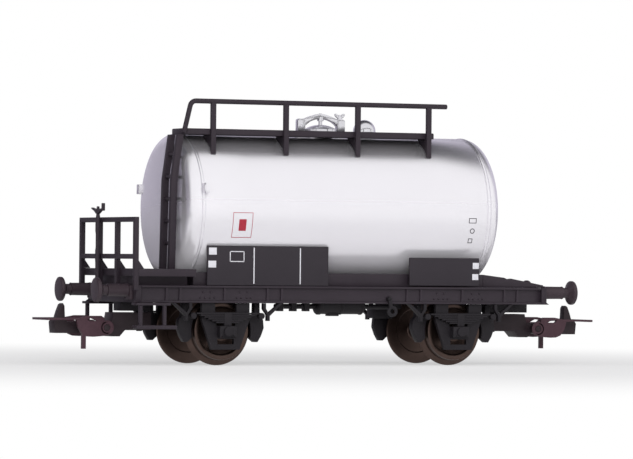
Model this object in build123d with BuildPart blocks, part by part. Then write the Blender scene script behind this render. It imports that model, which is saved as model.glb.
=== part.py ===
from build123d import *
from math import asin, cos, radians, sin, sqrt
import os

# Two-axle railway tank car, a 1:87 model for 16.5 mm track.
# Millimetres. +X along the car, away from the brakeman's platform, +Z up.
# The origin is on the floor under the middle of the car, where the wheel flanges touch.

# Sides of the round parts, few enough to keep the mesh light
rod_sides = 12
shaft_sides = 24
wheel_sides = 48

# Wheels
axle_inset = 18.7
tread_radius = 5.6
flange_height = 1.0
wheel_back_gap = 14.4
flange_width = 0.8
tyre_width = 2.8
axle_radius = 1.0
journal_radius = 0.55
journal_clearance = 0.08
seat_gap = 0.02

# Tank
tank_radius = 14.4
tank_axis = 30.2
tank_half = 30.0
crown_radius = 150.0
knuckle_radius = 2.8
knuckle_steps = 3
seam_width = 0.45
seam_proud = 0.12
tank_seat = 0.02

# Underframe
end_reach = 13.2
frame_bottom = 12.0
frame_top = 15.3
sill_outer = 13.0
sill_web = 1.1
sill_recess = 0.55
sill_lip = 0.45
beam_thickness = 1.1
beam_half_width = 13.1
floor_thickness = 1.4

# Saddle that carries the tank
cradle_top = 17.8
cradle_half_width = 11.5
stay_thickness = 1.2

# Walkway, handrail and ladder
walk_overhang = 2.5
walk_length = 52.6
walk_top = 45.3
walk_thickness = 1.15
walk_near = -9.5
walk_width = 6.0
rail_radius = 0.48
rail_height = 5.7
rail_left = -31.2
rail_right = 22.6
post_first = -26.55
post_pitch = 15.1
post_count = 4
post_width = 1.0
post_depth = 0.8
post_foot = 40.5
ladder_near = -9.6
ladder_width = 5.4
stile_width = 1.0
stile_depth = 1.25
ladder_bend_height = 35.4
rung_top = 40.3
rung_pitch = 4.25
rung_count = 5
rung_radius = 0.36

# Brakeman's platform
deck_half_width = 15.1
deck_top = 18.4
deck_thickness = 1.4
bar_width = 1.05
bar_depth = 0.9
rail_bar_top = 28.2
rail_bar_height = 0.95
rail_mid_top = 21.2
inner_post_y = 4.8

# Buffers
buffer_spacing = 20.1
buffer_height = 14.33
buffer_reach = 7.3
buffer_head_radius = 2.35
buffer_sleeve_radius = 1.25

# Couplers
pivot_inset = 5.7
shank_top = 10.0
shank_half_width = 1.6
bow_pivot_reach = 2.5
bow_pivot_height = 7.1
bow_half_width = 4.4
bow_plate = 0.8
pin_radius = 0.6
pin_clearance = 0.06
swing_gap = 0.3

# Worked out from the sizes above
flange_radius = tread_radius + flange_height
axle_height = flange_radius
wheel_back = wheel_back_gap / 2
wheel_face = wheel_back + tyre_width
frame_half_length = tank_half + end_reach
axle_x = frame_half_length - axle_inset
swing_pivot = frame_half_length - pivot_inset
bow_pivot = frame_half_length + bow_pivot_reach
beam_inner = frame_half_length - beam_thickness
floor_bottom = frame_top - floor_thickness
sill_inner = sill_outer - sill_web
sill_face = sill_outer - sill_recess
knuckle_ring = tank_radius - knuckle_radius
crown_drop = sqrt((crown_radius - knuckle_radius) ** 2 - knuckle_ring ** 2)
tank_tip = tank_half + crown_radius - crown_drop
tank_top = tank_axis + tank_radius
cradle_left = -tank_half - 1.0
cradle_right = tank_half
walk_left = -tank_half - walk_overhang
walk_right = walk_left + walk_length
walk_bottom = walk_top - walk_thickness
deck_left = -frame_half_length - 0.23
deck_right = -tank_half - 1.8

os.makedirs("parts", exist_ok=True)

ends = (("left", -1), ("right", 1))
sides = (("near", -1), ("far", 1))


def tank_solid(grow, seam=0.0):
    """The tank as one turned solid along X, grown outwards, with ridges for the seams where the barrel ends."""
    lean = asin(knuckle_ring / (crown_radius - knuckle_radius))
    knuckle = knuckle_radius + grow
    turns = [lean + (radians(90) - lean) * step / knuckle_steps for step in range(knuckle_steps)]
    bend = [(tank_half + knuckle * cos(turn), knuckle_ring + knuckle * sin(turn)) for turn in turns]
    with BuildPart() as body:
        with BuildSketch(Plane.XZ):
            with BuildLine():
                Polyline((0, 0), (tank_tip + grow, 0), *bend, (tank_half, tank_radius + grow + seam),
                         (tank_half - seam_width, tank_radius + grow), (0, tank_radius + grow), close=True)
            make_face()
        revolve(axis=Axis.X)
        mirror(about=Plane.YZ)
    return body.part.moved(Location((0, 0, tank_axis)))


tank_room = tank_solid(seam_proud + tank_seat)


# Tank shell with its welded seams, the lamp bracket at the left seam and the lug behind it
bracket_bottom = 32.9
bracket_height = 1.9
bracket_width = 0.7
bracket_reach = 1.5
lug_side = 12.8
with BuildPart() as tank_shell:
    add(tank_solid(0, seam_proud))
    with BuildSketch(Plane.XY.offset(bracket_bottom)):
        with Locations((-tank_half - bracket_width * 0.65, -tank_radius)):
            Rectangle(bracket_width, 2 * bracket_reach)
        with Locations((-tank_half - knuckle_radius + 0.7, lug_side)):
            Rectangle(2.2, 1.2)
    extrude(amount=bracket_height)
tank_shell.part.label = "tank_shell"
export_step(tank_shell.part, "parts/tank_shell.step")


# Manhole: neck, domed lid, and the yoke with its lugs, spindle and wing nut
neck_radius = 3.35
neck_top = tank_top + 0.8
lid_radius = 3.3
lid_rise = 1.4
with BuildPart() as manhole_neck:
    with BuildSketch(Plane.XY.offset(tank_axis)):
        RegularPolygon(neck_radius, shaft_sides)
    extrude(amount=neck_top - tank_axis)
    add(tank_room, mode=Mode.SUBTRACT)
manhole_neck.part.label = "manhole_neck"
export_step(manhole_neck.part, "parts/manhole_neck.step")

# Heights and radii of the lid, as shares of its rise and radius
lid_steps = ((0.0, 1.0), (0.29, 1.0), (0.6, 0.8), (0.88, 0.45), (1.0, 0.1))
with BuildPart() as manhole_lid:
    for rise, out in lid_steps:
        with BuildSketch(Plane.XY.offset(neck_top + seat_gap + lid_rise * rise)):
            RegularPolygon(lid_radius * out, shaft_sides)
    loft(ruled=True)
manhole_lid.part.label = "manhole_lid"
export_step(manhole_lid.part, "parts/manhole_lid.step")

lug_x = 4.2
lug_width = 1.6
lug_depth = 1.3
lug_top = tank_top + 3.35
yoke_top = tank_top + 4.3
yoke_bar = 1.0
yoke_foot_in = lug_x - lug_width / 2
yoke_foot_out = lug_x + lug_width / 2
arch_drop = 1.4
arch_foot = lug_top - arch_drop
lug_bevel = 0.5
spindle_radius = 0.42
nut_x = lug_x - 0.1
wing_span = 2.3
wing_height = 0.75
arch_reach = yoke_foot_out - lug_bevel
arch_knee = arch_reach * 0.5
arch_right = ((arch_reach, lug_top - 0.8 * lug_bevel), (arch_knee, yoke_top - yoke_bar * 0.35), (0, yoke_top))
arch_left = ((0, yoke_top - yoke_bar), (arch_knee, yoke_top - yoke_bar * 1.35), (yoke_foot_in - 0.1, arch_foot))
arch_outline = ([(1, *point) for point in arch_right] + [(-1, *point) for point in reversed(arch_right[:-1])]
                + [(-1, *point) for point in reversed(arch_left)] + [(1, *point) for point in arch_left[1:]])
with BuildPart() as lid_yoke:
    with BuildSketch(Plane.XY.offset(tank_axis)):
        with Locations((-lug_x, 0), (lug_x, 0)):
            Rectangle(lug_width, lug_depth)
    extrude(amount=lug_top - tank_axis)
    chamfer(lid_yoke.edges().filter_by(Axis.Y).group_by(Axis.Z)[-1], length=lug_bevel)
    with BuildSketch(Plane.XZ.offset(-yoke_bar / 2)):
        with BuildLine():
            Polyline(*((way * along, height) for way, along, height in arch_outline), close=True)
        make_face()
    extrude(amount=yoke_bar)
    with BuildSketch(Plane.XY.offset(neck_top + lid_rise + 2 * seat_gap)):
        RegularPolygon(spindle_radius, rod_sides)
    extrude(amount=yoke_top + 0.1 - neck_top - lid_rise)
    with BuildSketch(Plane.XY.offset(lug_top - 0.3)):
        with Locations((nut_x, 0)):
            RegularPolygon(spindle_radius, rod_sides)
    extrude(amount=1.1)
    with BuildSketch(Plane.XZ.offset(-yoke_bar / 4)):
        with Locations((nut_x, lug_top + wing_height)):
            Trapezoid(wing_span, wing_height, 60, rotation=180)
    extrude(amount=yoke_bar / 2)
    add(tank_room, mode=Mode.SUBTRACT)
lid_yoke.part.label = "lid_yoke"
export_step(lid_yoke.part, "parts/lid_yoke.step")

valve_x = 9.4
valve_radius = 2.36
valve_rise = 3.35
valve_top = tank_top + valve_rise
valve_ring_height = 0.7
valve_ring_width = 0.3
# Heights and radii of the dome's round top, as shares of its radius
dome_steps = ((0.0, 1.0), (0.45, 0.9), (0.8, 0.62), (1.0, 0.1))
with BuildPart() as valve_dome:
    for up, out in dome_steps:
        with BuildSketch(Plane.XY.offset(valve_top - valve_radius * (1 - up))):
            with Locations((valve_x, 0)):
                RegularPolygon(valve_radius * out, shaft_sides)
    loft(ruled=True)
    for radius, top, drop in ((valve_radius, valve_top - valve_radius, valve_radius),
                              (valve_radius + valve_ring_width, walk_top + valve_ring_height, valve_ring_height)):
        with BuildSketch(Plane.XY.offset(top)):
            with Locations((valve_x, 0)):
                RegularPolygon(radius, shaft_sides)
        extrude(amount=-drop)
    add(tank_room, mode=Mode.SUBTRACT)
valve_dome.part.label = "valve_dome"
export_step(valve_dome.part, "parts/valve_dome.step")


# Walkway board along the near side of the tank's top
with BuildPart() as walkway:
    with BuildSketch(Plane.XY.offset(walk_bottom)):
        with Locations(((walk_left + walk_right) / 2, walk_near + walk_width / 2)):
            Rectangle(walk_length, walk_width)
    extrude(amount=walk_thickness)
    add(tank_room, mode=Mode.SUBTRACT)
walkway.part.label = "walkway"
export_step(walkway.part, "parts/walkway.step")


# Handrail: four posts that stand on the tank, with gussets under the walkway
rail_y = walk_near - post_depth / 2 - seat_gap
rail_centre = walk_top + rail_height - rail_radius
gusset_width = post_width * 0.6
gusset_foot = 1.4
gusset_head = 4.4
post_sink = 1.0
rail_foot_out = 0.05
rail_bend = 0.5
with BuildPart() as handrail:
    for number in range(post_count):
        post_x = post_first + number * post_pitch
        with BuildSketch(Plane.XY.offset(post_foot - post_sink)):
            with Locations((post_x, rail_y)):
                Rectangle(post_width, post_depth)
        extrude(amount=rail_centre - post_foot + post_sink)
        with BuildSketch(Plane.YZ.offset(post_x - gusset_width / 2)):
            with BuildLine():
                Polyline((rail_y, post_foot), (rail_y, walk_bottom - seat_gap),
                         (rail_y + gusset_head, walk_bottom - seat_gap), (rail_y + gusset_foot, post_foot), close=True)
            make_face()
        extrude(amount=gusset_width)
    add(tank_room, mode=Mode.SUBTRACT)
    with BuildLine() as rail_path:
        Polyline((walk_left - rail_foot_out, rail_y, walk_bottom + rail_radius / 2),
                 (rail_left, rail_y, rail_centre - rail_bend), (rail_left + rail_bend, rail_y, rail_centre),
                 (rail_right, rail_y, rail_centre))
    with BuildSketch(Plane(rail_path.line @ 0, z_dir=rail_path.line % 0)):
        RegularPolygon(rail_radius, rod_sides)
    sweep(transition=Transition.RIGHT)
handrail.part.label = "handrail"
export_step(handrail.part, "parts/handrail.step")


# Ladder from the platform to the walkway, bent at the tank's shoulder
ladder_foot_x = -tank_tip - 0.7
ladder_bend_x = -tank_tip - 0.36
ladder_head_x = walk_left + 0.08
ladder_head = walk_bottom - seat_gap
with BuildPart() as ladder:
    for shift in (0, ladder_width - stile_width):
        with BuildSketch(Plane.XZ.offset(-(ladder_near + shift + stile_width))):
            Polygon((ladder_foot_x, deck_top + seat_gap), (ladder_bend_x, ladder_bend_height),
                    (ladder_head_x, ladder_head), (ladder_head_x - stile_depth, ladder_head),
                    (ladder_bend_x - stile_depth, ladder_bend_height),
                    (ladder_foot_x - stile_depth, deck_top + seat_gap), align=None)
        extrude(amount=stile_width)
    for number in range(rung_count):
        height = rung_top - rung_pitch * number
        lean = max(0.0, height - ladder_bend_height) / (ladder_head - ladder_bend_height)
        rung_x = ladder_bend_x - stile_depth / 2 + lean * (ladder_head_x - ladder_bend_x)
        with BuildSketch(Plane.XZ.offset(-(ladder_near + ladder_width - stile_width / 2))):
            with Locations((rung_x, height)):
                RegularPolygon(rung_radius, rod_sides)
        extrude(amount=ladder_width - stile_width)
ladder.part.label = "ladder"
export_step(ladder.part, "parts/ladder.step")


# Brakeman's platform: deck on its bearer, end railing and hand brake
with BuildPart() as platform_deck:
    with BuildSketch(Plane.XY.offset(deck_top - deck_thickness)):
        with Locations(((deck_left + deck_right) / 2, 0)):
            Rectangle(deck_right - deck_left, 2 * deck_half_width)
    extrude(amount=deck_thickness)
    with BuildSketch(Plane.XY.offset(frame_top + seat_gap)):
        with Locations(((deck_left + cradle_left) / 2, 0)):
            Rectangle(cradle_left - deck_left - 2.0, 2 * cradle_half_width - 1.0)
    extrude(amount=deck_top - deck_thickness - frame_top)
    add(tank_room, mode=Mode.SUBTRACT)
platform_deck.part.label = "platform_deck"
export_step(platform_deck.part, "parts/platform_deck.step")

railing_x = deck_left - bar_depth - seat_gap
outer_post_y = deck_half_width - bar_width / 2
post_bottom = frame_top - 0.9
gusset_reach = 1.1
with BuildPart() as platform_railing:
    for post_y in (-outer_post_y, -inner_post_y, inner_post_y, outer_post_y):
        with BuildSketch(Plane.XY.offset(post_bottom)):
            with Locations((railing_x + bar_depth / 2, post_y)):
                Rectangle(bar_depth, bar_width)
        extrude(amount=rail_bar_top - post_bottom)
        with BuildSketch(Plane.XZ.offset(-post_y - bar_width / 2)):
            Polygon((railing_x + bar_depth / 2, deck_top + seat_gap),
                    (railing_x + bar_depth + gusset_reach, deck_top + seat_gap),
                    (railing_x + bar_depth / 2, deck_top + 2 * gusset_reach), align=None)
        extrude(amount=bar_width)
    for top in (rail_bar_top, rail_mid_top):
        with BuildSketch(Plane.XY.offset(top - rail_bar_height)):
            with Locations((railing_x + bar_depth / 2, 0)):
                Rectangle(bar_depth, 2 * deck_half_width)
        extrude(amount=rail_bar_height)
platform_railing.part.label = "platform_railing"
export_step(platform_railing.part, "parts/platform_railing.step")

brake_y = inner_post_y - 1.4
column_radius = 0.5
column_top = rail_bar_top + 2.1
crank_reach = 3.1
arm_height = rail_bar_top + 1.6
handle_height = 1.1
crank_x = railing_x - column_radius - seat_gap
with BuildPart() as brake_crank:
    with BuildSketch(Plane.XY.offset(post_bottom)):
        with Locations((crank_x, brake_y)):
            RegularPolygon(column_radius, rod_sides)
    extrude(amount=column_top - 1.4 - post_bottom)
    with BuildSketch(Plane.YZ.offset(crank_x - column_radius * 0.7)):
        with BuildLine():
            Polyline((brake_y - crank_reach, arm_height - 0.35),
                     (brake_y - crank_reach, arm_height + handle_height),
                     (brake_y - crank_reach + 0.6, arm_height + handle_height),
                     (brake_y - crank_reach + 0.6, arm_height + 0.15), (brake_y - 0.35, arm_height),
                     (brake_y - 0.3, column_top), (brake_y + 0.3, column_top), (brake_y + 0.35, arm_height),
                     (brake_y + crank_reach, arm_height + 0.3), (brake_y + crank_reach, arm_height),
                     (brake_y + column_radius, column_top - 1.5), (brake_y - column_radius, column_top - 1.5),
                     close=True)
        make_face()
    extrude(amount=column_radius * 1.4)
brake_crank.part.label = "brake_crank"
export_step(brake_crank.part, "parts/brake_crank.step")


# Underframe: floor, two channel sills with tapered ribs, two headstocks
with BuildPart() as floor_plate:
    with BuildSketch(Plane.XY.offset(floor_bottom)):
        Rectangle(2 * (beam_inner - seat_gap), 2 * (sill_inner - seat_gap))
    extrude(amount=floor_thickness - seat_gap)
floor_plate.part.label = "floor_plate"
export_step(floor_plate.part, "parts/floor_plate.step")

sill_length = 2 * (beam_inner - seat_gap)
rib_offsets = (-11.3, -8.35, 0.5, 9.6, 12.4)
rib_foot = 0.62
rib_head = 0.36
for side, across in sides:
    with BuildPart() as solebar:
        with BuildSketch(Plane.YZ.offset(-sill_length / 2)):
            with BuildLine():
                Polyline((across * sill_inner, frame_bottom), (across * sill_outer, frame_bottom),
                         (across * sill_outer, frame_bottom + sill_lip), (across * sill_face, frame_bottom + sill_lip),
                         (across * sill_face, frame_top - sill_lip), (across * sill_outer, frame_top - sill_lip),
                         (across * sill_outer, frame_top), (across * sill_inner, frame_top), close=True)
            make_face()
        extrude(amount=sill_length)
        for end, way in ends:
            for offset in rib_offsets:
                rib_x = way * (axle_x + offset)
                with BuildSketch(Plane.XZ.offset(-across * (sill_face - 0.1))):
                    Polygon((rib_x - rib_foot / 2, frame_bottom), (rib_x + rib_foot / 2, frame_bottom),
                            (rib_x + rib_head / 2, frame_top), (rib_x - rib_head / 2, frame_top), align=None)
                extrude(amount=-across * (sill_recess + 0.05))
    solebar.part.label = f"solebar_{side}"
    export_step(solebar.part, f"parts/solebar_{side}.step")

for end, way in ends:
    with BuildPart() as headstock:
        with BuildSketch(Plane.XY.offset(frame_bottom)):
            with Locations((way * (beam_inner + beam_thickness / 2), 0)):
                Rectangle(beam_thickness, 2 * beam_half_width)
        extrude(amount=frame_top - frame_bottom)
    headstock.part.label = f"headstock_{end}"
    export_step(headstock.part, f"parts/headstock_{end}.step")


# Saddle with the tank's trough, and the two end stays that slope down to the right headstock
with BuildPart() as tank_cradle:
    with BuildSketch(Plane.XY.offset(frame_top + seat_gap)):
        with Locations(((cradle_left + cradle_right) / 2, 0)):
            Rectangle(cradle_right - cradle_left, 2 * cradle_half_width)
    extrude(amount=cradle_top - frame_top - seat_gap)
    add(tank_room, mode=Mode.SUBTRACT)
tank_cradle.part.label = "tank_cradle"
export_step(tank_cradle.part, "parts/tank_cradle.step")

stay_top = ((0.02, 2.5), (4.7, 1.94), (5.4, 1.63), (6.2, 1.78), (end_reach, 0.5))
for side, across in sides:
    with BuildPart() as end_stay:
        with BuildSketch(Plane.XZ.offset(-across * (cradle_half_width - stay_thickness))):
            Polygon((cradle_right + seat_gap, frame_top + seat_gap),
                    *((cradle_right + along, frame_top + rise) for along, rise in stay_top),
                    (frame_half_length, frame_top + seat_gap), align=None)
        extrude(amount=-across * stay_thickness)
        add(tank_room, mode=Mode.SUBTRACT)
    end_stay.part.label = f"end_stay_{side}"
    export_step(end_stay.part, f"parts/end_stay_{side}.step")


# Running gear in each corner: axle guard with bored axle box, leaf spring, Y-shaped spring hangers
guard_inner = 11.3
guard_plate = 0.9
guard_face = guard_inner + guard_plate
guard_top_half = 4.9
guard_foot_half = 2.9
guard_shoulder = 8.8
guard_foot = 3.1
crotch_half = 2.2
crotch_bottom = 10.25
box_half_width = 1.7
box_bottom = 5.4
box_top = 7.6
box_depth = 1.4
boss_radius = 0.9
boss_proud = 0.4
window_height = 7.98
window_size = 1.3
window_rise = 0.7
slot_height = 4.63
slot_rise = 1.0
spring_half = 6.4
spring_depth = 1.2
spring_top = 10.17
spring_end_drop = 0.98
spring_middle_drop = 2.04
spring_curve = ((0.75, 0.56), (0.4, 0.16), (0.0, 0.0), (-0.4, 0.16), (-0.75, 0.56))
buckle_width = 1.5
buckle_sink = 0.4
eye_x = 7.0
eye_radius = 0.62
hanger_x = 8.4
hanger_fork = 9.75
hanger_foot = 8.6
hanger_arm_out = 10.7
hanger_arm_in = 7.9
hanger_bar = 0.6
hanger_depth = 1.0
for end, way in ends:
    for side, across in sides:
        axle = way * axle_x
        with BuildPart() as axle_guard:
            with BuildSketch(Plane.XZ.offset(-across * guard_inner)):
                Polygon((axle - guard_top_half, frame_bottom - seat_gap),
                        (axle + guard_top_half, frame_bottom - seat_gap),
                        (axle + guard_top_half, guard_shoulder), (axle + guard_foot_half, guard_foot),
                        (axle - guard_foot_half, guard_foot), (axle - guard_top_half, guard_shoulder), align=None)
                with Locations((axle, (frame_bottom + crotch_bottom) / 2)):
                    Rectangle(2 * crotch_half, frame_bottom - crotch_bottom, mode=Mode.SUBTRACT)
                with Locations((axle - window_size, window_height), (axle + window_size, window_height)):
                    Rectangle(window_size, window_rise, mode=Mode.SUBTRACT)
                with Locations((axle, slot_height)):
                    Rectangle(2 * box_half_width, slot_rise, mode=Mode.SUBTRACT)
            extrude(amount=-across * guard_plate)
            with BuildSketch(Plane.XZ.offset(-across * guard_face)):
                with Locations((axle, (box_bottom + box_top) / 2)):
                    Rectangle(2 * box_half_width, box_top - box_bottom)
            extrude(amount=-across * box_depth)
            with BuildSketch(Plane.XZ.offset(-across * (guard_face + box_depth))):
                with Locations((axle, axle_height)):
                    RegularPolygon(boss_radius, rod_sides)
            extrude(amount=-across * boss_proud)
            with BuildSketch(Plane.XZ.offset(-across * guard_inner)):
                with Locations((axle, axle_height)):
                    RegularPolygon(journal_radius + journal_clearance, rod_sides, major_radius=False)
            extrude(amount=-across * (guard_plate + box_depth * 0.6), mode=Mode.SUBTRACT)
        axle_guard.part.label = f"axle_guard_{end}_{side}"
        export_step(axle_guard.part, f"parts/axle_guard_{end}_{side}.step")

        spring_end = spring_top - spring_end_drop
        spring_middle = spring_top - spring_middle_drop
        with BuildPart() as leaf_spring:
            with BuildSketch(Plane.XZ.offset(-across * (guard_face + seat_gap))):
                Polygon((axle - spring_half, spring_end), (axle - spring_half, spring_top),
                        (axle + spring_half, spring_top), (axle + spring_half, spring_end),
                        *((axle + spring_half * along, spring_middle + (spring_end - spring_middle) * rise)
                          for along, rise in spring_curve), align=None)
                with Locations((axle, (spring_middle + box_top) / 2 + buckle_sink / 2)):
                    Rectangle(buckle_width, spring_middle - box_top + buckle_sink - 2 * seat_gap)
                with Locations((axle - eye_x, spring_top - eye_radius), (axle + eye_x, spring_top - eye_radius)):
                    RegularPolygon(eye_radius, rod_sides)
            extrude(amount=-across * spring_depth)
        leaf_spring.part.label = f"leaf_spring_{end}_{side}"
        export_step(leaf_spring.part, f"parts/leaf_spring_{end}_{side}.step")

        with BuildPart() as spring_hangers:
            for turn in (-1, 1):
                top = frame_bottom - seat_gap
                with BuildSketch(Plane.XZ.offset(-across * (sill_face - 0.2))):
                    Polygon((axle + turn * (hanger_x - hanger_bar / 2), hanger_foot),
                            (axle + turn * (hanger_x + hanger_bar / 2), hanger_foot),
                            (axle + turn * (hanger_x + hanger_bar / 2), hanger_fork - 0.2),
                            (axle + turn * (hanger_arm_out + hanger_bar), top),
                            (axle + turn * hanger_arm_out, top), (axle + turn * hanger_x, hanger_fork + 0.4),
                            (axle + turn * hanger_arm_in, top - 1.0), (axle + turn * hanger_arm_in, top),
                            (axle + turn * (hanger_arm_in - hanger_bar), top),
                            (axle + turn * (hanger_arm_in - hanger_bar), top - 1.1),
                            (axle + turn * (hanger_x - hanger_bar / 2), hanger_fork), align=None)
                extrude(amount=-across * hanger_depth)
        spring_hangers.part.label = f"spring_hangers_{end}_{side}"
        export_step(spring_hangers.part, f"parts/spring_hangers_{end}_{side}.step")


# Brake blocks before and behind each axle, hung from the floor in line with the wheel treads
shoe_gap = 0.5
shoe_near = wheel_back + flange_width + 0.35
shoe_far = wheel_face - 0.1
shoe_hang = floor_bottom - seat_gap - axle_height
shoe_outline = ((5.0, 3.0), (6.8, 3.0), (6.9, shoe_hang), (7.9, shoe_hang), (8.0, 3.0), (8.7, 2.2), (8.85, 0.6),
                (8.3, -0.9), (7.6, -2.1), (6.9, -2.1), (5.0, -0.4))
for end, way in ends:
    for place, toward in (("outer", way), ("inner", -way)):
        axle = way * axle_x
        with BuildPart() as brake_blocks:
            for side, across in sides:
                with BuildSketch(Plane.XZ.offset(-across * shoe_near)):
                    with Locations((axle, axle_height)):
                        Polygon(*((toward * out, up) for out, up in shoe_outline), align=None)
                        RegularPolygon(tread_radius + shoe_gap, wheel_sides, mode=Mode.SUBTRACT)
                extrude(amount=-across * (shoe_far - shoe_near))
        brake_blocks.part.label = f"brake_blocks_{end}_{place}"
        export_step(brake_blocks.part, f"parts/brake_blocks_{end}_{place}.step")


# Brake cylinder and rod under the near half of the floor, relay box under the far half
cylinder_y = -5.0
cylinder_left = -3.0
cylinder_length = 10.15
cylinder_radius = 2.0
cylinder_height = 11.75
rod_radius = 0.5
rod_left = -11.5
rod_past = 1.0
box_left = 12.5
box_length = 3.9
box_y = 3.0
box_size = 4.0
rod_drop = 0.4
lumps = (-10.4, -7.6, -4.9)
lump_bottom = 10.4
lump_length = 1.1
lump_width = 1.6
drain_x = 0.7
drain_length = 2.2
drain_bottom = 9.5
drain_height = 1.0
box_bottom_height = 9.0
box_height = 2.35
bearer_bottom = 11.0
bearer_width = 1.6
bearer_overlap = 1.2
with BuildPart() as brake_cylinder:
    with BuildSketch(Plane.YZ.offset(cylinder_left)):
        with Locations((cylinder_y, cylinder_height)):
            RegularPolygon(cylinder_radius, shaft_sides)
    extrude(amount=cylinder_length)
    with BuildSketch(Plane.YZ.offset(rod_left)):
        with Locations((cylinder_y, cylinder_height - rod_drop)):
            RegularPolygon(rod_radius, rod_sides)
    extrude(amount=box_left + rod_past - rod_left)
    for lump_x in lumps:
        with BuildSketch(Plane.XY.offset(lump_bottom)):
            with Locations((lump_x, cylinder_y)):
                Rectangle(lump_length, lump_width)
        extrude(amount=floor_bottom - seat_gap - lump_bottom)
    with BuildSketch(Plane.XY.offset(cylinder_height)):
        with Locations((cylinder_left + cylinder_length / 2, cylinder_y)):
            Rectangle(cylinder_length * 0.7, cylinder_radius)
    extrude(amount=floor_bottom - seat_gap - cylinder_height)
    with BuildSketch(Plane.XY.offset(drain_bottom)):
        with Locations((drain_x, cylinder_y)):
            Rectangle(drain_length, lump_width)
    extrude(amount=drain_height)
    with BuildSketch(Plane.XY.offset(box_bottom_height)):
        with Locations((box_left + box_length / 2, box_y)):
            Rectangle(box_length, box_size)
    extrude(amount=box_height)
    with BuildSketch(Plane.XY.offset(bearer_bottom)):
        with Locations((box_left + box_length / 2, (box_y + cylinder_y) / 2)):
            Rectangle(bearer_width, box_y - cylinder_y + bearer_overlap)
    extrude(amount=floor_bottom - seat_gap - bearer_bottom)
brake_cylinder.part.label = "brake_cylinder"
export_step(brake_cylinder.part, "parts/brake_cylinder.step")


# Buffers: flange, sleeve, plunger and round head on both headstocks
buffer_start = frame_half_length + seat_gap
buffer_flange = 0.6
flange_side = 3.2
flange_bottom = frame_bottom + 0.55
flange_top = frame_top - 0.05
plunger_radius = 1.0
plunger_start = 4.8
flare_start = 5.8
head_start = 6.5
head_edge = 0.1
head_face_start = 7.1
head_face_radius = buffer_head_radius - 0.3
# Sections outwards from the headstock: (start, radius there, end, radius there)
buffer_sections = ((0.0, buffer_sleeve_radius, plunger_start, buffer_sleeve_radius),
                   (plunger_start, plunger_radius, flare_start, plunger_radius),
                   (flare_start, plunger_radius, head_start, buffer_head_radius - head_edge),
                   (head_start, buffer_head_radius, head_face_start, buffer_head_radius),
                   (head_face_start, buffer_head_radius, buffer_reach, head_face_radius))
for end, way in ends:
    for side, across in sides:
        middle = (across * buffer_spacing / 2, buffer_height)
        with BuildPart() as buffer:
            for start, first_radius, stop, last_radius in buffer_sections:
                for along, radius in ((max(start, seat_gap), first_radius), (stop, last_radius)):
                    with BuildSketch(Plane.YZ.offset(way * (frame_half_length + along))):
                        with Locations(middle):
                            RegularPolygon(radius, shaft_sides)
                loft(ruled=True)
            with BuildSketch(Plane.YZ.offset(way * buffer_start)):
                with Locations((middle[0], (flange_top + flange_bottom) / 2)):
                    Rectangle(flange_side, flange_top - flange_bottom)
            extrude(amount=way * buffer_flange)
        buffer.part.label = f"buffer_{end}_{side}"
        export_step(buffer.part, f"parts/buffer_{end}_{side}.step")


# Sign boards that stand on the sole bars, held by brackets to the saddle
board_thickness = 0.5
boards = (("left", -tank_half + 1.3, 25.1, frame_top + 0.1, 7.55),
          ("right", tank_half - 16.4, 14.9, frame_top + 0.3, 5.4))
for name, left, length, bottom, height in boards:
    for side, across in sides:
        with BuildPart() as sign_board:
            with BuildSketch(Plane.XZ.offset(-across * (sill_outer - board_thickness))):
                with Locations((left + length / 2, bottom + height / 2)):
                    Rectangle(length, height)
            extrude(amount=-across * board_thickness)
            with BuildSketch(Plane.XY.offset(bottom)):
                with Locations((left + length / 2, across * (cradle_half_width + sill_outer) / 2)):
                    Rectangle(length * 0.8, sill_outer - cradle_half_width - 2 * seat_gap)
            extrude(amount=cradle_top - bottom - 0.6)
        sign_board.part.label = f"sign_board_{name}_{side}"
        export_step(sign_board.part, f"parts/sign_board_{name}_{side}.step")


# Footsteps under the platform on both sides: two hangers under a flat bar, and a tread
step_outer = 15.0
step_inset = 0.4
step_clearance = -0.3
step_bar_clearance = 1.0
step_hanger_clearance = 2.15
step_left = -frame_half_length - 0.5
step_right = -axle_x - hanger_arm_out - hanger_bar - step_clearance
step_bar_right = -axle_x - hanger_arm_out - hanger_bar - step_bar_clearance
tread_bottom = 7.0
tread_thickness = 0.72
tread_depth = 2.4
hanger_width = 0.65
step_hanger_depth = 0.8
step_bar = 0.48
step_hangers = (-frame_half_length + step_inset, -axle_x - hanger_arm_out - hanger_bar - step_hanger_clearance)
for name, across in (("footstep", -1), ("footstep_far", 1)):
    with BuildPart() as step:
        for hanger in step_hangers:
            with BuildSketch(Plane.XY.offset(tread_bottom)):
                with Locations((hanger, across * (step_outer - 0.2 - step_hanger_depth / 2))):
                    Rectangle(hanger_width, step_hanger_depth)
            extrude(amount=frame_bottom - seat_gap - tread_bottom)
        with BuildSketch(Plane.XY.offset(tread_bottom)):
            with Locations(((step_left + step_right) / 2, across * (step_outer - tread_depth / 2))):
                Rectangle(step_right - step_left, tread_depth)
        extrude(amount=tread_thickness)
        with BuildSketch(Plane.XY.offset(frame_bottom - seat_gap - step_bar)):
            with Locations(((step_left + step_bar_right) / 2, across * (step_outer + sill_inner) / 2)):
                Rectangle(step_bar_right - step_left, step_outer - sill_inner)
        extrude(amount=step_bar)
    step.part.label = name
    export_step(step.part, f"parts/{name}.step")

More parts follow.
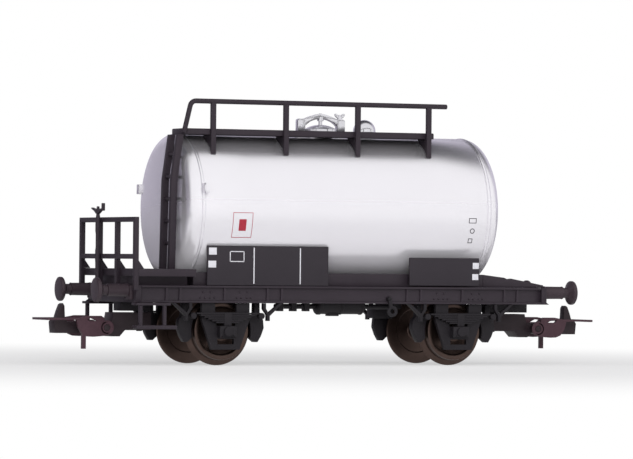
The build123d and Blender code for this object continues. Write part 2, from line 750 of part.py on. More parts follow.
# Ring lever on the near sole bar
ring_x = axle_x - 14.67
ring_height = 10.57
ring_outer = 1.07
ring_inner = 0.45
ball_x = axle_x - 15.34
ball_height = 13.0
ball_radius = 0.45
lever_half = 0.25
lever_thickness = 0.55
ball_reach = 1.4
with BuildPart() as ring_lever:
    with BuildSketch(Plane.XZ.offset(sill_outer + 0.05)):
        with Locations((ring_x, ring_height)):
            RegularPolygon(ring_outer, shaft_sides)
        Polygon((ring_x - 0.7, ring_height + 0.6), (ball_x - lever_half, ball_height),
                (ball_x + lever_half, ball_height), (ring_x + 0.1, ring_height + 0.9), align=None)
        with Locations((ring_x, ring_height)):
            RegularPolygon(ring_inner, rod_sides, mode=Mode.SUBTRACT)
    extrude(amount=lever_thickness)
    with BuildSketch(Plane.XZ.offset(sill_face + seat_gap)):
        with Locations((ball_x, ball_height)):
            RegularPolygon(ball_radius, rod_sides)
    extrude(amount=ball_reach)
ring_lever.part.label = "ring_lever"
export_step(ring_lever.part, "parts/ring_lever.step")


# Coupler mount under the floor at each end, with the pin the coupler swings on
mount_bottom = shank_top + swing_gap
mount_width = 4.0
mount_start = swing_pivot - 1.5
swing_pin_bottom = 6.4
pin_root = 0.5
mount_reach = {"left": frame_half_length - 1.1, "right": frame_half_length + 1.1}
for end, way in ends:
    with BuildPart() as coupler_mount:
        for reach, top in ((mount_reach[end], frame_bottom), (beam_inner, floor_bottom)):
            with BuildSketch(Plane.XY.offset(mount_bottom)):
                with Locations((way * (mount_start + reach - seat_gap) / 2, 0)):
                    Rectangle(reach - seat_gap - mount_start, mount_width)
            extrude(amount=top - seat_gap - mount_bottom)
        with BuildSketch(Plane.XY.offset(swing_pin_bottom)):
            with Locations((way * swing_pivot, 0)):
                RegularPolygon(pin_radius, rod_sides)
        extrude(amount=mount_bottom + pin_root - swing_pin_bottom)
    coupler_mount.part.label = f"coupler_mount_{end}"
    export_step(coupler_mount.part, f"parts/coupler_mount_{end}.step")


# Wheelsets: an axle with journals, and two flanged disc wheels
web_inset = 0.5
hub_radius = 1.9
hub_proud = 0.2
rim_inner = 4.4
bore_radius = axle_radius + seat_gap
axle_half = guard_inner - swing_gap
journal_end = guard_face + 0.6
flange_bevel = 0.3
tread_taper = 0.05
wheel_stations = ((wheel_back, flange_radius - flange_bevel), (wheel_back + flange_bevel, flange_radius),
                  (wheel_back + flange_width, tread_radius), (wheel_face, tread_radius - tread_taper))
for end, way in ends:
    axle = way * axle_x
    with BuildPart() as axle_shaft:
        for radius, half_length in ((axle_radius, axle_half), (journal_radius, journal_end)):
            with BuildSketch(Plane.XZ.offset(-half_length)):
                with Locations((axle, axle_height)):
                    RegularPolygon(radius, rod_sides)
            extrude(amount=2 * half_length)
    axle_shaft.part.label = f"axle_{end}"
    export_step(axle_shaft.part, f"parts/axle_{end}.step")
    for side, across in sides:
        with BuildPart() as wheel:
            for distance, radius in wheel_stations:
                with BuildSketch(Plane.XZ.offset(-across * distance)):
                    with Locations((axle, axle_height)):
                        RegularPolygon(radius, wheel_sides)
            loft(ruled=True)
            with BuildSketch(Plane.XZ.offset(-across * wheel_face)):
                with Locations((axle, axle_height)):
                    RegularPolygon(rim_inner, wheel_sides)
            extrude(amount=across * web_inset, mode=Mode.SUBTRACT)
            with BuildSketch(Plane.XZ.offset(-across * (wheel_face - web_inset))):
                with Locations((axle, axle_height)):
                    RegularPolygon(hub_radius, shaft_sides)
            extrude(amount=-across * (web_inset + hub_proud))
            with BuildSketch(Plane.XZ.offset(-across * wheel_back)):
                with Locations((axle, axle_height)):
                    RegularPolygon(bore_radius, rod_sides, major_radius=False)
            extrude(amount=-across * (tyre_width + hub_proud), mode=Mode.SUBTRACT)
        wheel.part.label = f"wheel_{end}_{side}"
        export_step(wheel.part, f"parts/wheel_{end}_{side}.step")


# Couplers: a pocket and shank with the hook, and a bow that lifts on the shank's cross pin.
# Outlines are given as (outwards, upwards) from the cross pin.
collar_radius = 1.0
pocket_half_width = 2.4
fin_half_width = 0.9
pocket_outline = ((-9.7, -0.5), (-9.7, 2.9), (-2.1, 2.9), (-1.8, 1.25), (-0.7, 1.1), (-0.7, -1.2),
                  (-1.5, -1.7), (-3.3, -1.7), (-4.4, -0.5))
shank_outline = ((-2.7, -0.9), (-2.7, 1.1), (7.1, 1.1), (7.2, 1.6), (9.4, 1.5), (9.7, 1.0), (9.5, -1.1),
                 (5.3, -1.1), (4.3, -0.8))
fin_outline = ((7.25, 1.3), (7.4, 4.1), (7.7, 4.6), (8.1, 4.35), (8.6, 3.1), (9.15, 1.3))
plate_outline = ((-0.8, 0.1), (-0.6, -0.8), (0.2, -1.55), (2.7, -1.75), (3.9, -1.7), (4.9, -1.3),
                 (5.7, -0.2), (6.1, 1.1), (6.2, 1.8), (4.3, 1.8), (3.7, 1.25), (0.6, 1.25), (-0.4, 0.9))
blade_outline = ((0.5, 1.2), (0.6, 1.9), (1.2, 2.25), (3.6, 2.25), (5.5, 1.9), (8.3, 1.84), (12.0, 1.84),
                 (12.0, 1.4), (7.3, 1.5), (5.8, 1.4), (4.3, 1.7), (3.1, 1.8), (1.9, 1.2))
bow_bar = 0.8
bow_front = bow_pivot + blade_outline[6][0]
bar_height = 0.44
bar_bottom = bow_pivot_height + blade_outline[7][1]
trip_x = bow_pivot + 4.65
trip_bottom = 3.07
trip_width = 0.75
trip_height = 3.6
for end, way in ends:
    pin_at = (way * bow_pivot, bow_pivot_height)
    with BuildPart() as coupler_shank:
        for outline, half_width in ((pocket_outline, pocket_half_width), (shank_outline, shank_half_width),
                                    (fin_outline, fin_half_width)):
            with BuildSketch(Plane.XZ.offset(-half_width)):
                with Locations(pin_at):
                    Polygon(*((way * out, up) for out, up in outline), align=None)
            extrude(amount=2 * half_width)
        with BuildSketch(Plane.XY):
            with Locations((way * swing_pivot, 0)):
                RegularPolygon(pin_radius + pin_clearance, rod_sides, major_radius=False)
        extrude(amount=2 * shank_top, mode=Mode.SUBTRACT)
        collar_half = bow_half_width - bow_plate - swing_gap
        for radius, half_width in ((collar_radius, collar_half), (pin_radius, bow_half_width)):
            with BuildSketch(Plane.XZ.offset(-half_width)):
                with Locations(pin_at):
                    RegularPolygon(radius, rod_sides)
            extrude(amount=2 * half_width)
    coupler_shank.part.label = f"coupler_shank_{end}"
    export_step(coupler_shank.part, f"parts/coupler_shank_{end}.step")

    with BuildPart() as coupler_bow:
        for side, across in sides:
            with BuildSketch(Plane.XZ.offset(-across * (bow_half_width - bow_plate))):
                with Locations(pin_at):
                    Polygon(*((way * out, up) for out, up in plate_outline), align=None)
                    Polygon(*((way * out, up) for out, up in blade_outline), align=None)
                    RegularPolygon(pin_radius + pin_clearance, rod_sides, major_radius=False,
                                   mode=Mode.SUBTRACT)
            extrude(amount=-across * bow_plate)
        with BuildSketch(Plane.XY.offset(bar_bottom)):
            with Locations((way * (bow_front - bow_bar / 2), 0)):
                Rectangle(bow_bar, 2 * bow_half_width)
        extrude(amount=bar_height)
        with BuildSketch(Plane.XY.offset(trip_bottom)):
            with Locations((way * trip_x, way * (bow_half_width - bow_plate / 2))):
                Rectangle(trip_width, bow_plate)
        extrude(amount=trip_height)
    coupler_bow.part.label = f"coupler_bow_{end}"
    export_step(coupler_bow.part, f"parts/coupler_bow_{end}.step")
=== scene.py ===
from math import asin, cos, degrees, pi, radians, sin, sqrt

import bpy
from bpy.props import FloatProperty, FloatVectorProperty, IntProperty, PointerProperty
from mathutils import Matrix, Vector


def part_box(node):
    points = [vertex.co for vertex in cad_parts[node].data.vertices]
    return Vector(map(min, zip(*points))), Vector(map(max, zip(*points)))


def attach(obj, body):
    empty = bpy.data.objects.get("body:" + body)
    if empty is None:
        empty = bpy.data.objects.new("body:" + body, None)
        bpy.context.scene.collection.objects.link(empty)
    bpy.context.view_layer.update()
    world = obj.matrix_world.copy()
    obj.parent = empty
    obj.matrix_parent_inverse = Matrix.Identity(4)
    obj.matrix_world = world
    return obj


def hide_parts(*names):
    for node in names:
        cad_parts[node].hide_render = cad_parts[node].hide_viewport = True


bl_info = {
    "name": "Model tank car",
    "version": (1, 0, 0),
    "blender": (4, 5, 0),
    "location": "3D View > Sidebar > Tank car",
    "description": "Finishes a 1:87 two-axle railway tank car around its packed CAD frame",
    "category": "Object",
}

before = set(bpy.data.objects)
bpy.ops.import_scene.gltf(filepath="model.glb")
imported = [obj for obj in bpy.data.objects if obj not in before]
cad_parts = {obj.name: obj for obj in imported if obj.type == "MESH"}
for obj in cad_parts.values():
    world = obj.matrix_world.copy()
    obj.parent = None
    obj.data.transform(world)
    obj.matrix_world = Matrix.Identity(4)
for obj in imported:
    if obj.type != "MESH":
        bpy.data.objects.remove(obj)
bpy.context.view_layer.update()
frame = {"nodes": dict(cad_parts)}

ENDS = (("left", -1), ("right", 1))
SIDES = (("far", 1), ("near", -1))

ACROSS = Matrix.Diagonal((1, -1, 1, 1))  # mirrors the near side to the far side
ALONG = Matrix.Diagonal((-1, 1, 1, 1))  # mirrors the right end to the left end

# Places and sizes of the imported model, in millimetres
AXLE_X, AXLE_Z = 24.5, 6.6  # axes of the wheelsets
FRAME_END = 43.2  # outer faces of the headstocks
TANK_RADIUS, TANK_HALF, TANK_Z = 14.4, 30.0, 30.2  # barrel, its half length between seams, its axis
TANK_TOP = TANK_Z + TANK_RADIUS
CROWN, KNUCKLE = 150.0, 2.8  # radii of the dished ends and of their rims
BOARD_FACE = 13.0  # outer faces of the sign boards
BUFFER_Y, BUFFER_Z = 10.05, 14.33  # axes of the buffers
BOW_PIN_X, BOW_PIN_Z = 45.7, 7.1  # cross pins of the coupler bows

# How pieces are worked: lengths in millimetres, angles in degrees
SAME_POINT, SAME_CAD_POINT = 0.002, 0.001  # points nearer than this are merged
SAME_PLANE = 0.5  # faces that meet at less than this are one
SMOOTH_BELOW = 34  # edges that turn by less are shaded smooth
ROUND_ABOVE = 38  # edges that turn by more are rounded

# Camera and lamps, in metres, degrees and watts
CAMERA_PLACE = (-0.34394, -0.79916, 0.02011)
CAMERA_AZIMUTH, CAMERA_ELEVATION, CAMERA_ROLL = 23.25, -0.41, 0.54
FOCAL_PIXELS, FRAME_PIXELS, SENSOR = 4450, 633, 36
LAMP_AIM = (0, 0, 0.03)
LAMPS = (  # name, place, size, power
    ("front_softbox", (-0.3, -0.85, 0.3), 0.7, 5.2),
    ("side_softbox", (-0.8, -0.15, 0.4), 0.5, 1.3),
    ("right_softbox", (0.7, -0.4, 0.45), 0.5, 1.3),
)

# What gloss sees of the studio, as sRGB hex
STUDIO_FRONT, STUDIO_HIGH = "ffffff", "07081c"
STUDIO_LOW, STUDIO_LOW_LEFT = "ccc7d6", "6f6a76"
FLOOR_BEHIND = "8f8a98"


def mm(value):
    """Millimetres as Blender's metres."""
    return value / 1000


def at(x, y, z):
    """A point given in millimetres."""
    return Vector((mm(x), mm(y), mm(z)))


def linear(code):
    """An sRGB hex colour as linear red, green, blue and alpha."""
    values = [int(code[start:start + 2], 16) / 255 for start in (0, 2, 4)]
    return [v / 12.92 if v <= 0.04045 else ((v + 0.055) / 1.055) ** 2.4 for v in values] + [1.0]


def colour(name, description, code):
    """A colour property whose default is written as sRGB hex."""
    return FloatVectorProperty(name=name, description=description, subtype="COLOR", size=4, min=0, max=1,
                               default=linear(code))


def length(name, description, value):
    """A length property whose default is written in millimetres."""
    return FloatProperty(name=name, description=description, default=mm(value), min=0, unit="LENGTH",
                         subtype="DISTANCE", precision=6)


class TankCarPaints(bpy.types.PropertyGroup):
    """Colours a user would change."""
    tank: colour("Tank", "Silver lacquer of the tank", "efedf2")
    fittings: colour("Fittings", "Silvered fittings on the tank's top", "dddce1")
    frame: colour("Frame", "Brown-black plastic of frame, walkway and railing", "2f282f")
    running: colour("Running gear", "Black plastic of guards, springs and brakes", "1f1c20")
    coupler: colour("Couplers", "Plastic of coupler shanks and hooks", "2b2226")
    bow: colour("Bows", "Reddish brown plastic of the coupler bows", "452f37")
    buffers: colour("Buffers", "Plastic of the buffers", "3a3036")
    boards: colour("Boards", "Black print of the sign boards", "2c272d")
    print_white: colour("White print", "White plates and lines on the boards", "dddce2")
    print_red: colour("Red print", "Border and mark of the label on the tank", "a8283a")
    wheels: colour("Wheels", "Browned metal of the wheels", "4e403b")
    floor: colour("Floor", "Pale card under the model", "f4f3f5")


class TankCarSizes(bpy.types.PropertyGroup):
    """Sizes a user would change."""
    edge: length("Moulded edge", "Rounding of the moulded parts' edges", 0.09)
    seam: length("Seam", "Height of the tank's weld seams", 0.12)
    rivet: length("Rivet", "Radius of the rivets on the sole bars", 0.2)
    leaves: IntProperty(name="Leaves", description="Leaves in each spring", default=6, min=2, max=9)
    planks: IntProperty(name="Planks", description="Planks of the walkway", default=4, min=1, max=8)
    steps: IntProperty(name="Round steps", description="Steps of the tank's turned shell", default=192,
                       min=48, max=256)


def pick(obj):
    """Makes obj the only selected object."""
    bpy.ops.object.select_all(action="DESELECT")
    obj.select_set(True)
    bpy.context.view_layer.objects.active = obj


def edit(obj):
    """Opens obj in edit mode with everything in it selected."""
    pick(obj)
    bpy.ops.object.mode_set(mode="EDIT")
    bpy.ops.mesh.select_all(action="SELECT")


def modify(obj, kind, **settings):
    """Adds a modifier with its settings and applies it."""
    pick(obj)
    modifier = obj.modifiers.new(kind.title(), kind)
    for key, value in settings.items():
        setattr(modifier, key, value)
    bpy.ops.object.modifier_apply(modifier=modifier.name)


def smooth(obj, angle=SMOOTH_BELOW):
    """Shades obj smooth, with edges sharper than the angle kept."""
    pick(obj)
    bpy.ops.object.shade_smooth_by_angle(angle=radians(angle))
    return obj


def soften(obj, width, segments=2):
    """Rounds the sharp edges of obj by a width in millimetres."""
    modify(obj, "BEVEL", width=mm(width), segments=segments, limit_method="ANGLE",
           angle_limit=radians(ROUND_ABOVE))
    return smooth(obj)


def placed(obj):
    """Bakes the place, turn and scale of obj into its mesh."""
    pick(obj)
    bpy.ops.object.transform_apply(location=True, rotation=True, scale=True)
    return obj


def join(pieces):
    """Joins pieces into the first."""
    pick(pieces[0])
    for piece in pieces[1:]:
        piece.select_set(True)
    bpy.ops.object.join()
    return pieces[0]


def copied(obj, matrix):
    """A copy of obj with its own mesh, moved or mirrored by the matrix."""
    twin = obj.copy()
    twin.data = obj.data.copy()
    twin.data.transform(matrix)
    if matrix.determinant() < 0:
        twin.data.flip_normals()
    bpy.context.scene.collection.objects.link(twin)
    return twin


def shifted(x, y, z):
    """The matrix that moves a copy by a distance in millimetres."""
    return Matrix.Translation(at(x, y, z))


def drawn(points):
    """A line drawn point by point, left open in edit mode and wholly selected."""
    bpy.ops.object.select_all(action="DESELECT")
    bpy.ops.mesh.primitive_plane_add(size=mm(1), location=(0, 0, 0))
    obj = bpy.context.object
    bpy.ops.object.mode_set(mode="EDIT")
    bpy.ops.mesh.select_all(action="SELECT")
    bpy.ops.mesh.merge(type="CENTER")
    bpy.ops.transform.translate(value=points[0])
    for start, end in zip(points, points[1:]):
        bpy.ops.mesh.extrude_vertices_move(TRANSFORM_OT_translate={"value": end - start})
    bpy.ops.mesh.select_all(action="SELECT")
    return obj


def closed_up(obj):
    """Merges doubles, turns normals outwards and leaves edit mode."""
    bpy.ops.mesh.select_all(action="SELECT")
    bpy.ops.mesh.remove_doubles(threshold=mm(SAME_POINT))
    bpy.ops.mesh.normals_make_consistent(inside=False)
    bpy.ops.object.mode_set(mode="OBJECT")
    return obj


def turned(profile, centre, axis, steps=64, ring=False, angle=SMOOTH_BELOW):
    """A solid spun from (along, radius) points in millimetres. A ring's profile closes off the axis."""
    axis = Vector(axis).normalized()
    side = axis.orthogonal().normalized()
    points = [centre + axis * mm(along) + side * mm(radius) for along, radius in profile]
    obj = drawn(points + points[:1] if ring else points)
    bpy.ops.mesh.remove_doubles(threshold=mm(SAME_POINT))
    bpy.ops.mesh.spin(steps=steps, angle=2 * pi, center=centre, axis=axis)
    return smooth(closed_up(obj), angle)


def plate(points, depth, width=0.0):
    """A plate: a closed outline of points, filled, pushed along the depth vector and its edges rounded."""
    obj = drawn(points)
    bpy.ops.mesh.edge_face_add()
    bpy.ops.mesh.extrude_region_move(TRANSFORM_OT_translate={"value": depth})
    closed_up(obj)
    return soften(obj, width) if width else obj


def block(low, high, width=0.02, segments=2):
    """A block between two corners, its edges rounded, all in millimetres."""
    low, high = Vector(low), Vector(high)
    bpy.ops.object.select_all(action="DESELECT")
    bpy.ops.mesh.primitive_cube_add(size=1, location=tuple((low + high) / 2000))
    obj = bpy.context.object
    obj.scale = tuple((high - low) / 1000)
    return soften(placed(obj), width, segments)


def arc(along, out, radius, start, end, count):
    """Profile points on an arc about (along, out), with angles in degrees from the axis direction."""
    turns = [radians(start + (end - start) * i / count) for i in range(count + 1)]
    return [(along + radius * cos(turn), out + radius * sin(turn)) for turn in turns]


def moulding(node, width=None, drop=None):
    """A CAD node's mesh, copied, merged and rounded by a width in millimetres.

    Faces whose centre in millimetres passes drop go first."""
    obj = bpy.data.objects.new(node + "_moulding", frame["nodes"][node].data.copy())
    bpy.context.scene.collection.objects.link(obj)
    edit(obj)
    bpy.ops.mesh.remove_doubles(threshold=mm(SAME_CAD_POINT))
    bpy.ops.mesh.dissolve_limited(angle_limit=radians(SAME_PLANE))
    if drop:
        bpy.ops.mesh.select_mode(type="FACE")
        bpy.ops.mesh.select_all(action="DESELECT")
        bpy.ops.object.mode_set(mode="OBJECT")
        for polygon in obj.data.polygons:
            polygon.select = drop(polygon.center * 1000)
        bpy.ops.object.mode_set(mode="EDIT")
        bpy.ops.mesh.delete(type="FACE")
        bpy.ops.mesh.select_mode(type="VERT")
        bpy.ops.mesh.select_all(action="SELECT")
        bpy.ops.mesh.fill_holes(sides=0)
    bpy.ops.object.mode_set(mode="OBJECT")
    if width == 0:
        return smooth(obj)
    return soften(obj, bpy.context.scene.tank_car_sizes.edge * 1000 if width is None else width)


def finish(obj, name, material, body, slot, *nodes):
    """Names and paints a piece, ties it to its body and hides the CAD nodes it stands for. The slot is not
    used.
    """
    obj.name = name
    obj.data.name = name
    obj.data.materials.clear()
    obj.data.materials.append(material)
    for polygon in obj.data.polygons:
        polygon.material_index = 0
    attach(obj, body)
    if nodes:
        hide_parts(*nodes)
    return obj


def four_corners(obj, name, material, body, slot, node):
    """Finishes a piece built in the right near corner, and mirrored copies of it in the other three."""
    for end, way in ENDS:
        for side, across in SIDES:
            last = (end, side) == ("right", "near")
            item = obj if last else copied(obj, Matrix.Diagonal((way, -across, 1, 1)))
            corner = f"{node}_{end}_{side}"
            finish(item, f"{corner}_{name}", material, body.format(end), slot, corner)


def add(tree, kind, inputs=None, **settings):
    """Adds a node with its settings. Inputs are values or other nodes' outputs."""
    node = tree.nodes.new(kind)
    for key, value in settings.items():
        setattr(node, key, value)
    for key, value in (inputs or {}).items():
        if isinstance(value, bpy.types.NodeSocket):
            tree.links.new(value, node.inputs[key])
        else:
            node.inputs[key].default_value = value
    return node


# Sockets of a Mix node that mixes colours: they share their names with those for numbers
COLOUR_A, COLOUR_B, COLOUR_OUT = 6, 7, 2


def per(size):
    """The noise scale that gives features of the size in millimetres."""
    return 1000 / size


def shaded(name, paint, metallic=0.0, roughness=0.5, mottle=5.0, grain=0.2, relief=0.003, spread=0.06,
           scatter=0.045, **sockets):
    """A material in one of the paints, with mottled colour, varied roughness and a fine surface grain.

    Mottle, grain and relief are sizes in millimetres. Spread is how far the colour varies, scatter how far
    the roughness does. Any other socket of the shader is set by its name. The real grain of a moulding tool
    or a spray coat is 0.02 to 0.05 mm, and is drawn here as coarse as a picture of the whole car can show."""
    found = bpy.data.materials.get(name)
    if found:
        return found
    base = getattr(bpy.context.scene.tank_car_paints, paint)
    material = bpy.data.materials.new(name)
    material.use_nodes = True
    tree = material.node_tree
    shader = tree.nodes["Principled BSDF"]
    place = add(tree, "ShaderNodeTexCoord").outputs["Object"]
    cloud = add(tree, "ShaderNodeTexNoise", {"Vector": place, "Scale": per(mottle), "Detail": 4.0})
    dark = [value * (1 - 2 * spread) for value in base[:3]] + [1.0]
    light = [min(1.0, value * (1 + 2 * spread)) for value in base[:3]] + [1.0]
    tone = add(tree, "ShaderNodeMix", {"Factor": cloud.outputs["Fac"], COLOUR_A: dark, COLOUR_B: light},
               data_type="RGBA")
    tree.links.new(tone.outputs[COLOUR_OUT], shader.inputs["Base Color"])
    fine = add(tree, "ShaderNodeTexNoise",
               {"Vector": place, "Scale": per(grain), "Detail": 3.0, "Roughness": 0.6})
    rough = add(tree, "ShaderNodeMapRange", {"Value": fine.outputs["Fac"], "From Min": 0.3, "From Max": 0.7,
                                             "To Min": roughness - scatter, "To Max": roughness + scatter})
    tree.links.new(rough.outputs[0], shader.inputs["Roughness"])
    bump = add(tree, "ShaderNodeBump",
               {"Height": fine.outputs["Fac"], "Strength": 1.0, "Distance": mm(relief)})
    tree.links.new(bump.outputs[0], shader.inputs["Normal"])
    shader.inputs["Metallic"].default_value = metallic
    for key, value in sockets.items():
        shader.inputs[key.replace("_", " ")].default_value = value
    return material


def silver_lacquer():
    """Silver lacquer sprayed from above: a soft flake mirror where it lies wet, drier and duller low down."""
    known = bpy.data.materials.get("silver_lacquer")
    # Roughness stays under 0.27: where it crosses that value, the denoiser leaves specks
    material = shaded("silver_lacquer", "tank", metallic=0.6, roughness=0.25, mottle=9.0, grain=0.3,
                      relief=0.0001, spread=0.008, scatter=0.015)
    if not known:
        tree = material.node_tree
        place = add(tree, "ShaderNodeTexCoord").outputs["Object"]
        height = add(tree, "ShaderNodeSeparateXYZ", {0: place})
        # The coat turns from dry to wet between these heights on the shell
        wet = add(tree, "ShaderNodeMapRange",
                  {"Value": height.outputs["Z"], "From Min": mm(19), "From Max": mm(36), "To Min": 0.3,
                   "To Max": 0.82}, interpolation_type="SMOOTHSTEP")
        tree.links.new(wet.outputs[0], tree.nodes["Principled BSDF"].inputs["Metallic"])
    return material


def silvered_plastic():
    """Vacuum silvered plastic of the small fittings: a clear mirror with slight moulding waves."""
    return shaded("silvered_plastic", "fittings", metallic=0.9, roughness=0.17, mottle=3.0, grain=0.8,
                  relief=0.002, spread=0.015)


def moulded_polystyrene():
    """Brown-black polystyrene moulded in a spark-eroded tool: satin, with a fine even grain."""
    return shaded("moulded_polystyrene", "frame", roughness=0.48, mottle=5.0, grain=0.22, relief=0.003,
                  spread=0.1, Specular_IOR_Level=0.28)


def black_polystyrene():
    """Darker polystyrene of the running gear, matt from the tool and faintly dusty."""
    return shaded("black_polystyrene", "running", roughness=0.55, mottle=3.0, grain=0.2, relief=0.003,
                  spread=0.12, Specular_IOR_Level=0.25)


def buffer_acetal():
    """Acetal of the turned-looking buffers, waxy and a little lighter."""
    return shaded("buffer_acetal", "buffers", roughness=0.44, mottle=2.5, grain=0.2, relief=0.002,
                  spread=0.08, Specular_IOR_Level=0.3)


def coupler_nylon():
    """Nylon of the coupler shanks: dull, with a slightly greasy sheen."""
    return shaded("coupler_nylon", "coupler", roughness=0.5, mottle=2.0, grain=0.18, relief=0.003,
                  spread=0.1, Specular_IOR_Level=0.28)


def bow_nylon():
    """Filled nylon of the coupler bows: reddish brown, mottled by the flow marks of the mould."""
    return shaded("bow_nylon", "bow", roughness=0.46, mottle=1.4, grain=0.2, relief=0.002, spread=0.1,
                  Specular_IOR_Level=0.3)


def board_print():
    """Satin black print on flat plastic boards, a little uneven across the board."""
    return shaded("board_print", "boards", roughness=0.5, mottle=4.0, grain=0.25, relief=0.001,
                  spread=0.05, Specular_IOR_Level=0.3)


def white_print():
    """Opaque white pad print, slightly uneven where the ink is thin."""
    return shaded("white_pad_print", "print_white", roughness=0.55, mottle=0.6, grain=0.15, relief=0.0005,
                  spread=0.05)


def red_print():
    """Red pad print on the tank, thin enough to vary in tone."""
    return shaded("red_pad_print", "print_red", roughness=0.5, mottle=0.5, grain=0.15, relief=0.0005,
                  spread=0.1)


def browned_brass():
    """Turned wheels, chemically browned: the stain lies in clouds over a soft metal sheen."""
    return shaded("browned_brass", "wheels", metallic=0.9, roughness=0.33, mottle=1.5, grain=0.12,
                  relief=0.0015, spread=0.12)


class TankShell(bpy.types.Operator):
    """Builds the silver tank with its dished ends, weld seams, lamp bracket and lug"""
    bl_idname = "tank_car.tank"
    bl_label = "Tank"

    def execute(self, context):
        sizes = context.scene.tank_car_sizes
        ring = TANK_RADIUS - KNUCKLE
        lean = degrees(asin(ring / (CROWN - KNUCKLE)))
        centre = TANK_HALF - sqrt((CROWN - KNUCKLE) ** 2 - ring ** 2)
        end = arc(centre, 0, CROWN, 0, lean, 8) + arc(TANK_HALF, ring, KNUCKLE, lean, 82, 14)[1:]
        # The weld seam: a round bead between two shallow grooves
        seam, half_width, groove, shoulder, run_out = sizes.seam * 1000, 0.24, 0.12, 0.1, 0.3
        bead = [(along, TANK_RADIUS + out * seam / half_width)
                for along, out in arc(TANK_HALF, 0, half_width, 0, 180, 6)]
        bead.insert(0, (TANK_HALF + half_width + shoulder, TANK_RADIUS - groove))
        bead.append((TANK_HALF - half_width - shoulder, TANK_RADIUS - groove))
        bead.append((TANK_HALF - half_width - run_out, TANK_RADIUS))
        right = end + bead + [(along, TANK_RADIUS) for along in (20, 10, 0)]
        left = [(-along, out) for along, out in reversed(right[:-1])]
        skin = turned(right + left, at(0, 0, TANK_Z), (1, 0, 0), sizes.steps, angle=50)
        silver = silver_lacquer()
        finish(skin, "tank_skin", silver, "wagon", "tank_paint", "tank_shell")
        # Left near bottom and right far top corners of the lamp bracket, its socket and the lug
        bracket = block((-30.3, -15.9, 32.9), (-29.5, -13.6, 34.8), 0.08)
        socket = block((-30.5, -15.7, 33.2), (-29.4, -14.9, 34.5), 0.05)
        finish(join([bracket, socket]), "lamp_bracket", silver, "wagon", "tank_paint")
        lug = block((-33.2, 12.2, 32.9), (-31.4, 13.4, 34.8), 0.1)
        finish(lug, "end_lug", silver, "wagon", "tank_paint")
        return {"FINISHED"}


class TopFittings(bpy.types.Operator):
    """Builds the manhole with its lid, yoke, spindle and wing nut, and the valve dome"""
    bl_idname = "tank_car.fittings"
    bl_label = "Top fittings"

    def execute(self, context):
        silver = silvered_plastic()
        top, up = at(0, 0, TANK_TOP), (0, 0, 1)
        neck = turned([(-0.6, 0), (-0.6, 3.35), (0.7, 3.35), (0.8, 3.25), (0.8, 0)], top, up, 72)
        finish(neck, "manhole_neck_turned", silver, "wagon", "fittings_clear", "manhole_neck")
        rise, radius, height, dome_radius = 1.0, 3.3, 2.22, 3.1
        crown = (radius ** 2 + rise ** 2) / (2 * rise)
        dome = arc(height - crown, 0, crown, 0, degrees(asin(dome_radius / crown)), 12)
        rim = [(1.34, 3.16), (1.36, 3.22), (1.3, 3.3), (0.9, 3.3), (0.83, 3.24), (0.83, 0)]
        lid = turned(dome + rim, top, up, 72, angle=40)
        finish(lid, "manhole_lid_turned", silver, "wagon", "fittings_clear", "manhole_lid")
        finish(join(self.yoke(top, up)), "lid_yoke_cast", silver, "wagon", "fittings_clear", "lid_yoke")
        ball = arc(1.13, 0, 2.22, 0, 86, 16)
        collar = [(0.98, 2.24), (0.94, 2.36), (0.86, 2.42), (0.5, 2.42), (0.42, 2.36), (0.4, 2.24),
                  (-0.05, 2.24), (-0.05, 0)]
        valve = turned(ball + collar, at(9.4, 0, TANK_TOP), up, 72, angle=40)
        finish(valve, "valve_dome_turned", silver, "wagon", "fittings_clear", "valve_dome")
        return {"FINISHED"}

    def yoke(self, top, up):
        """The arch, its two lugs with a dimple, the spindle and the wing nut at the right lug."""
        nut_x = 4.1
        arch = self.arch()
        sides = [(-5.0, 0.2)] + arc(-4.5, 2.85, 0.5, 180, 90, 5) + arc(-3.9, 2.85, 0.5, 90, 0, 5)
        sides.append((-3.4, 0.2))
        lug = plate([at(x, 0.65, TANK_TOP + z) for x, z in sides], at(0, -1.3, 0), 0.06)
        far_lug = copied(lug, ALONG)
        dimple = turned([(0, 0), (0, 0.34), (0.12, 0.34), (0.18, 0.26), (0.1, 0.2), (0.1, 0)],
                        at(-4.3, -0.58, TANK_TOP + 1.9), (0, -1, 0), 24)
        spindle = turned([(2.0, 0), (2.0, 0.36), (2.9, 0.36), (2.95, 0.62), (3.75, 0.62), (3.8, 0.36),
                          (4.35, 0.36), (4.4, 0.28), (4.4, 0)], top, up, 32)
        nut = turned([(3.2, 0), (3.2, 0.5), (3.6, 0.46), (3.8, 0.3), (4.2, 0.26), (4.25, 0)],
                     at(nut_x, 0, TANK_TOP), up, 28)
        ear = [(0.1, 3.5), (0.5, 3.55), (0.85, 3.8), (1.1, 4.15), (1.08, 4.4), (0.85, 4.46), (0.5, 4.35),
               (0.25, 4.0)]
        wing = plate([at(nut_x + x, 0.17, TANK_TOP + z) for x, z in ear], at(0, -0.34, 0), 0.08)
        other_wing = copied(wing, shifted(2 * nut_x, 0, 0) @ ALONG)
        return [arch, lug, far_lug, dimple, spindle, nut, wing, other_wing]

    def arch(self):
        """The yoke's arch: steep shoulders outside, a round bow inside."""
        outer = [(4.5, 2.9), (3.4, 3.4), (2.2, 3.85), (1.0, 4.2), (0.5, 4.3)]
        inner = [(3.3, 1.95), (3.0, 2.3), (2.3, 2.8), (1.4, 3.15), (0.5, 3.3)]
        loop = outer + [(-x, z) for x, z in reversed(outer)] + [(-x, z) for x, z in inner] + inner[::-1]
        return plate([at(x, 0.5, TANK_TOP + z) for x, z in loop], at(0, -1.0, 0), 0.07)


